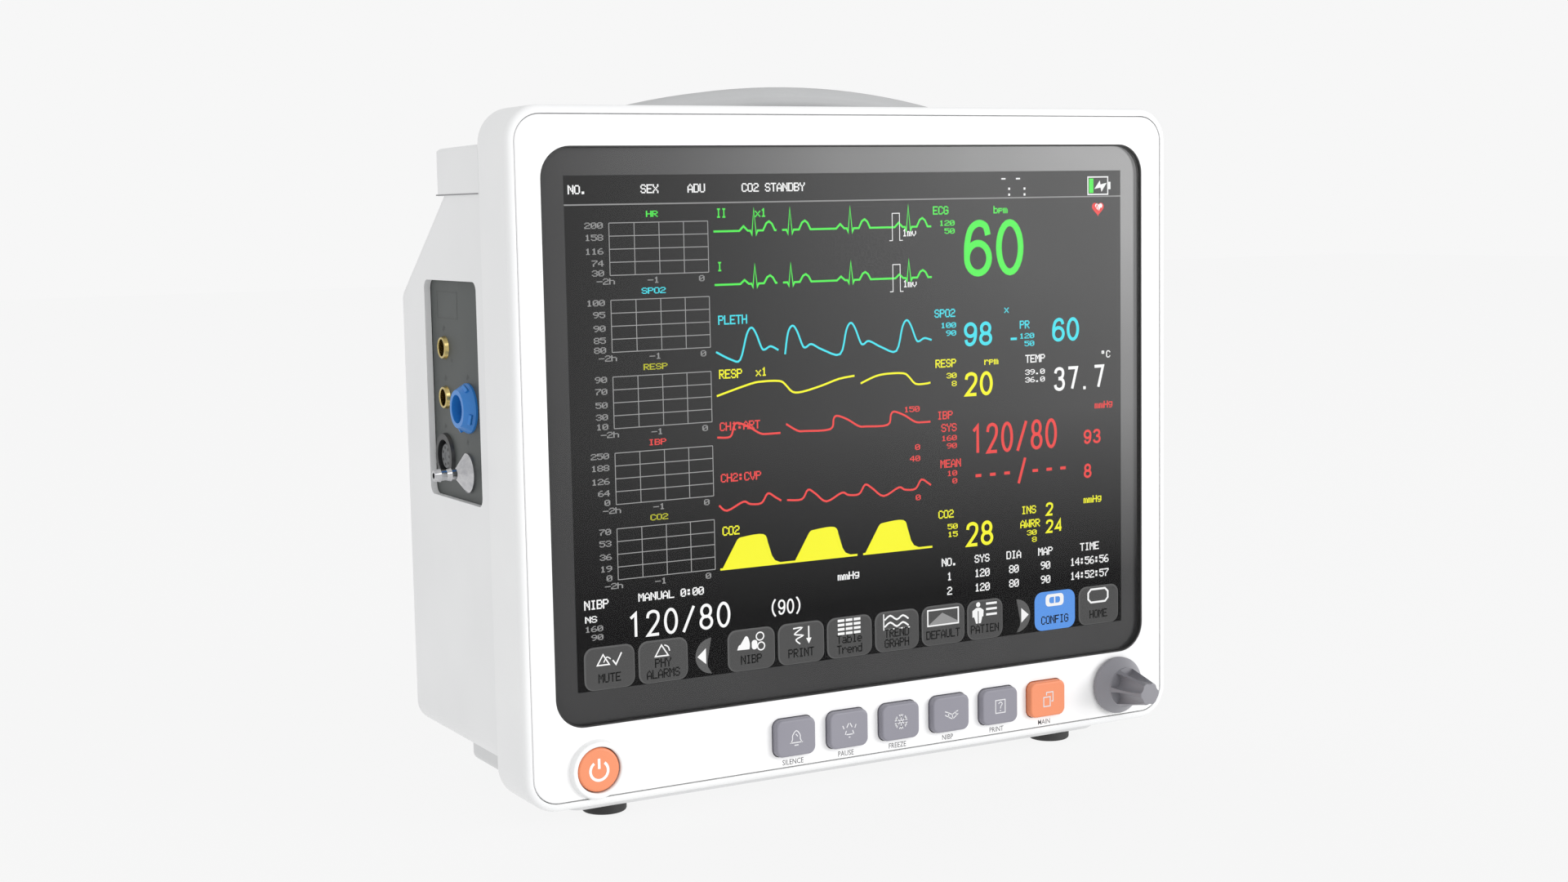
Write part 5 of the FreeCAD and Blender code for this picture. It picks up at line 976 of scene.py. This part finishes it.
def paintedRoomReflection(material, left, right):
    # a painted reflection of the room's light on the glass: an emission that fades downwards and grows
    # towards the right
    tree = material.node_tree
    places = tree.nodes.new("ShaderNodeSeparateXYZ")
    tree.links.new(tree.nodes.new("ShaderNodeTexCoord").outputs["Object"], places.inputs["Vector"])
    across = spread(tree, places.outputs["X"], left, right, glassLow[0], glassHigh[0])
    fade = spread(tree, places.outputs["Z"], 0.0, 1.0, onScreen(0, screen["fadeEnd"]).z,
                  onScreen(0, screen["fadeStart"]).z)
    level = tree.nodes.new("ShaderNodeMath")
    level.operation = "MULTIPLY"
    tree.links.new(across, level.inputs[0])
    tree.links.new(fade, level.inputs[1])
    shader = tree.nodes["Principled BSDF"]
    shader.inputs["Emission Color"].default_value = (1, 1, 1, 1)
    tree.links.new(level.outputs["Value"], shader.inputs["Emission Strength"])


# paintedReflectionLeft and paintedReflectionRight set the painted reflection of the room on the border print
borderPrint = {"colour": (0.03, 0.03, 0.031), "shade": (0.034, 0.034, 0.035), "roughness": 0.22,
               "grain": 0.000001, "inset": 0.1, "corner": 11.3, "innerCorner": 0.4,
               "paintedReflectionLeft": 0.0, "paintedReflectionRight": 0.16}
glassPrint = mouldedPlastic("glassPrint", borderPrint["colour"], borderPrint["shade"],
                            borderPrint["roughness"], depth=borderPrint["grain"])
inset = 2 * borderPrint["inset"] * mm
pieceFrom(flatFrame((glassHigh[0] - glassLow[0] - inset, glassHigh[2] - glassLow[2] - inset),
                    ((glassLow[0] + glassHigh[0]) / 2, screenCentre.y, (glassLow[2] + glassHigh[2]) / 2),
                    (screen["width"] * mm, screen["height"] * mm), tuple(screenCentre),
                    borderPrint["corner"] * mm, borderPrint["innerCorner"] * mm),
          "glass_print", glassPrint)
# painted reflection: the border print glows brighter towards the top right
paintedRoomReflection(glassPrint, borderPrint["paintedReflectionLeft"], borderPrint["paintedReflectionRight"])
blackCell, cellTree, cellShader = newMaterial("blackCell")
cellShader.inputs["Specular IOR Level"].default_value = 0.0
cellTree.links.new(tint(cellTree, objectNoise(cellTree, 12, 1), (0.006, 0.006, 0.0065),
                        (0.008, 0.008, 0.008)), cellShader.inputs["Base Color"])
# painted reflection: the display's black glows faintly brighter towards the top right
paintedRoomReflection(blackCell, screen["paintedReflectionLeft"], screen["paintedReflectionRight"])
cell = bmesh.new()
rectangle(cell, onScreen, 0, 0, screen["width"], screen["height"], 0)
pieceFrom(cell, "display_cell", blackCell)
print("display black and border print laid")

studio = {"floor": 6.0, "floorPaint": 0.05, "floorGlow": 0.88, "backdrop": 0.93, "fill": 0.82}

floor = bmesh.new()
bmesh.ops.create_grid(floor, x_segments=1, y_segments=1, size=studio["floor"])
floorMesh = bpy.data.meshes.new("studioFloor")
floor.to_mesh(floorMesh)
floor.free()
floorPiece = bpy.data.objects.new("studioFloor", floorMesh)
scene.collection.objects.link(floorPiece)
material, tree, shader = newMaterial("paleFloor")
shader.inputs["Base Color"].default_value = (studio["floorPaint"],) * 3 + (1,)
shader.inputs["Roughness"].default_value = 1.0
shader.inputs["Specular IOR Level"].default_value = 0.0
shader.inputs["Emission Color"].default_value = (1, 1, 1, 1)
shader.inputs["Emission Strength"].default_value = studio["floorGlow"]
floorMesh.materials.append(material)

# the backdrop looks brighter than the fill light that it gives
world = bpy.data.worlds.new("studioWorld")
scene.world = world
world.use_nodes = True
sky = world.node_tree.nodes["Background"]
sky.inputs["Color"].default_value = (1, 1, 1, 1)
path = world.node_tree.nodes.new("ShaderNodeLightPath")
level = world.node_tree.nodes.new("ShaderNodeMapRange")
level.inputs["To Min"].default_value = studio["fill"]
level.inputs["To Max"].default_value = studio["backdrop"]
world.node_tree.links.new(path.outputs["Is Camera Ray"], level.inputs["Value"])
world.node_tree.links.new(level.outputs["Result"], sky.inputs["Strength"])


def softLight(name, place, target, size, power):
    light = bpy.data.lights.new(name, "AREA")
    light.shape = "RECTANGLE"
    light.size, light.size_y = size
    light.energy = power
    holder = bpy.data.objects.new(name, light)
    scene.collection.objects.link(holder)
    holder.location = place
    holder.rotation_euler = (Vector(target) - Vector(place)).to_track_quat("-Z", "Y").to_euler()


softLight("frontLight", (-0.2, -2.6, 1.9), (0, 0, 0.14), (1.8, 1.2), 10)
softLight("rightLight", (2.45, -2.75, 0.62), (0, 0, 0.15), (1.7, 1.7), 62)

view = {"place": (-0.42585, -0.76480, 0.2242), "turn": -29.0, "tilt": -6.07, "roll": -1.065, "lens": 50}
camera = bpy.data.cameras.new("studioCamera")
camera.lens = view["lens"]
camera.sensor_width = 36
camera.clip_start = 0.02
holder = bpy.data.objects.new("studioCamera", camera)
scene.collection.objects.link(holder)
turn = (Matrix.Rotation(math.radians(view["turn"]), 4, "Z")
        @ Matrix.Rotation(math.radians(90 + view["tilt"]), 4, "X")
        @ Matrix.Rotation(math.radians(view["roll"]), 4, "Z"))
holder.location = view["place"]
holder.rotation_euler = turn.to_euler()
scene.camera = holder
scene.view_settings.view_transform = "Standard"
print("studio set")
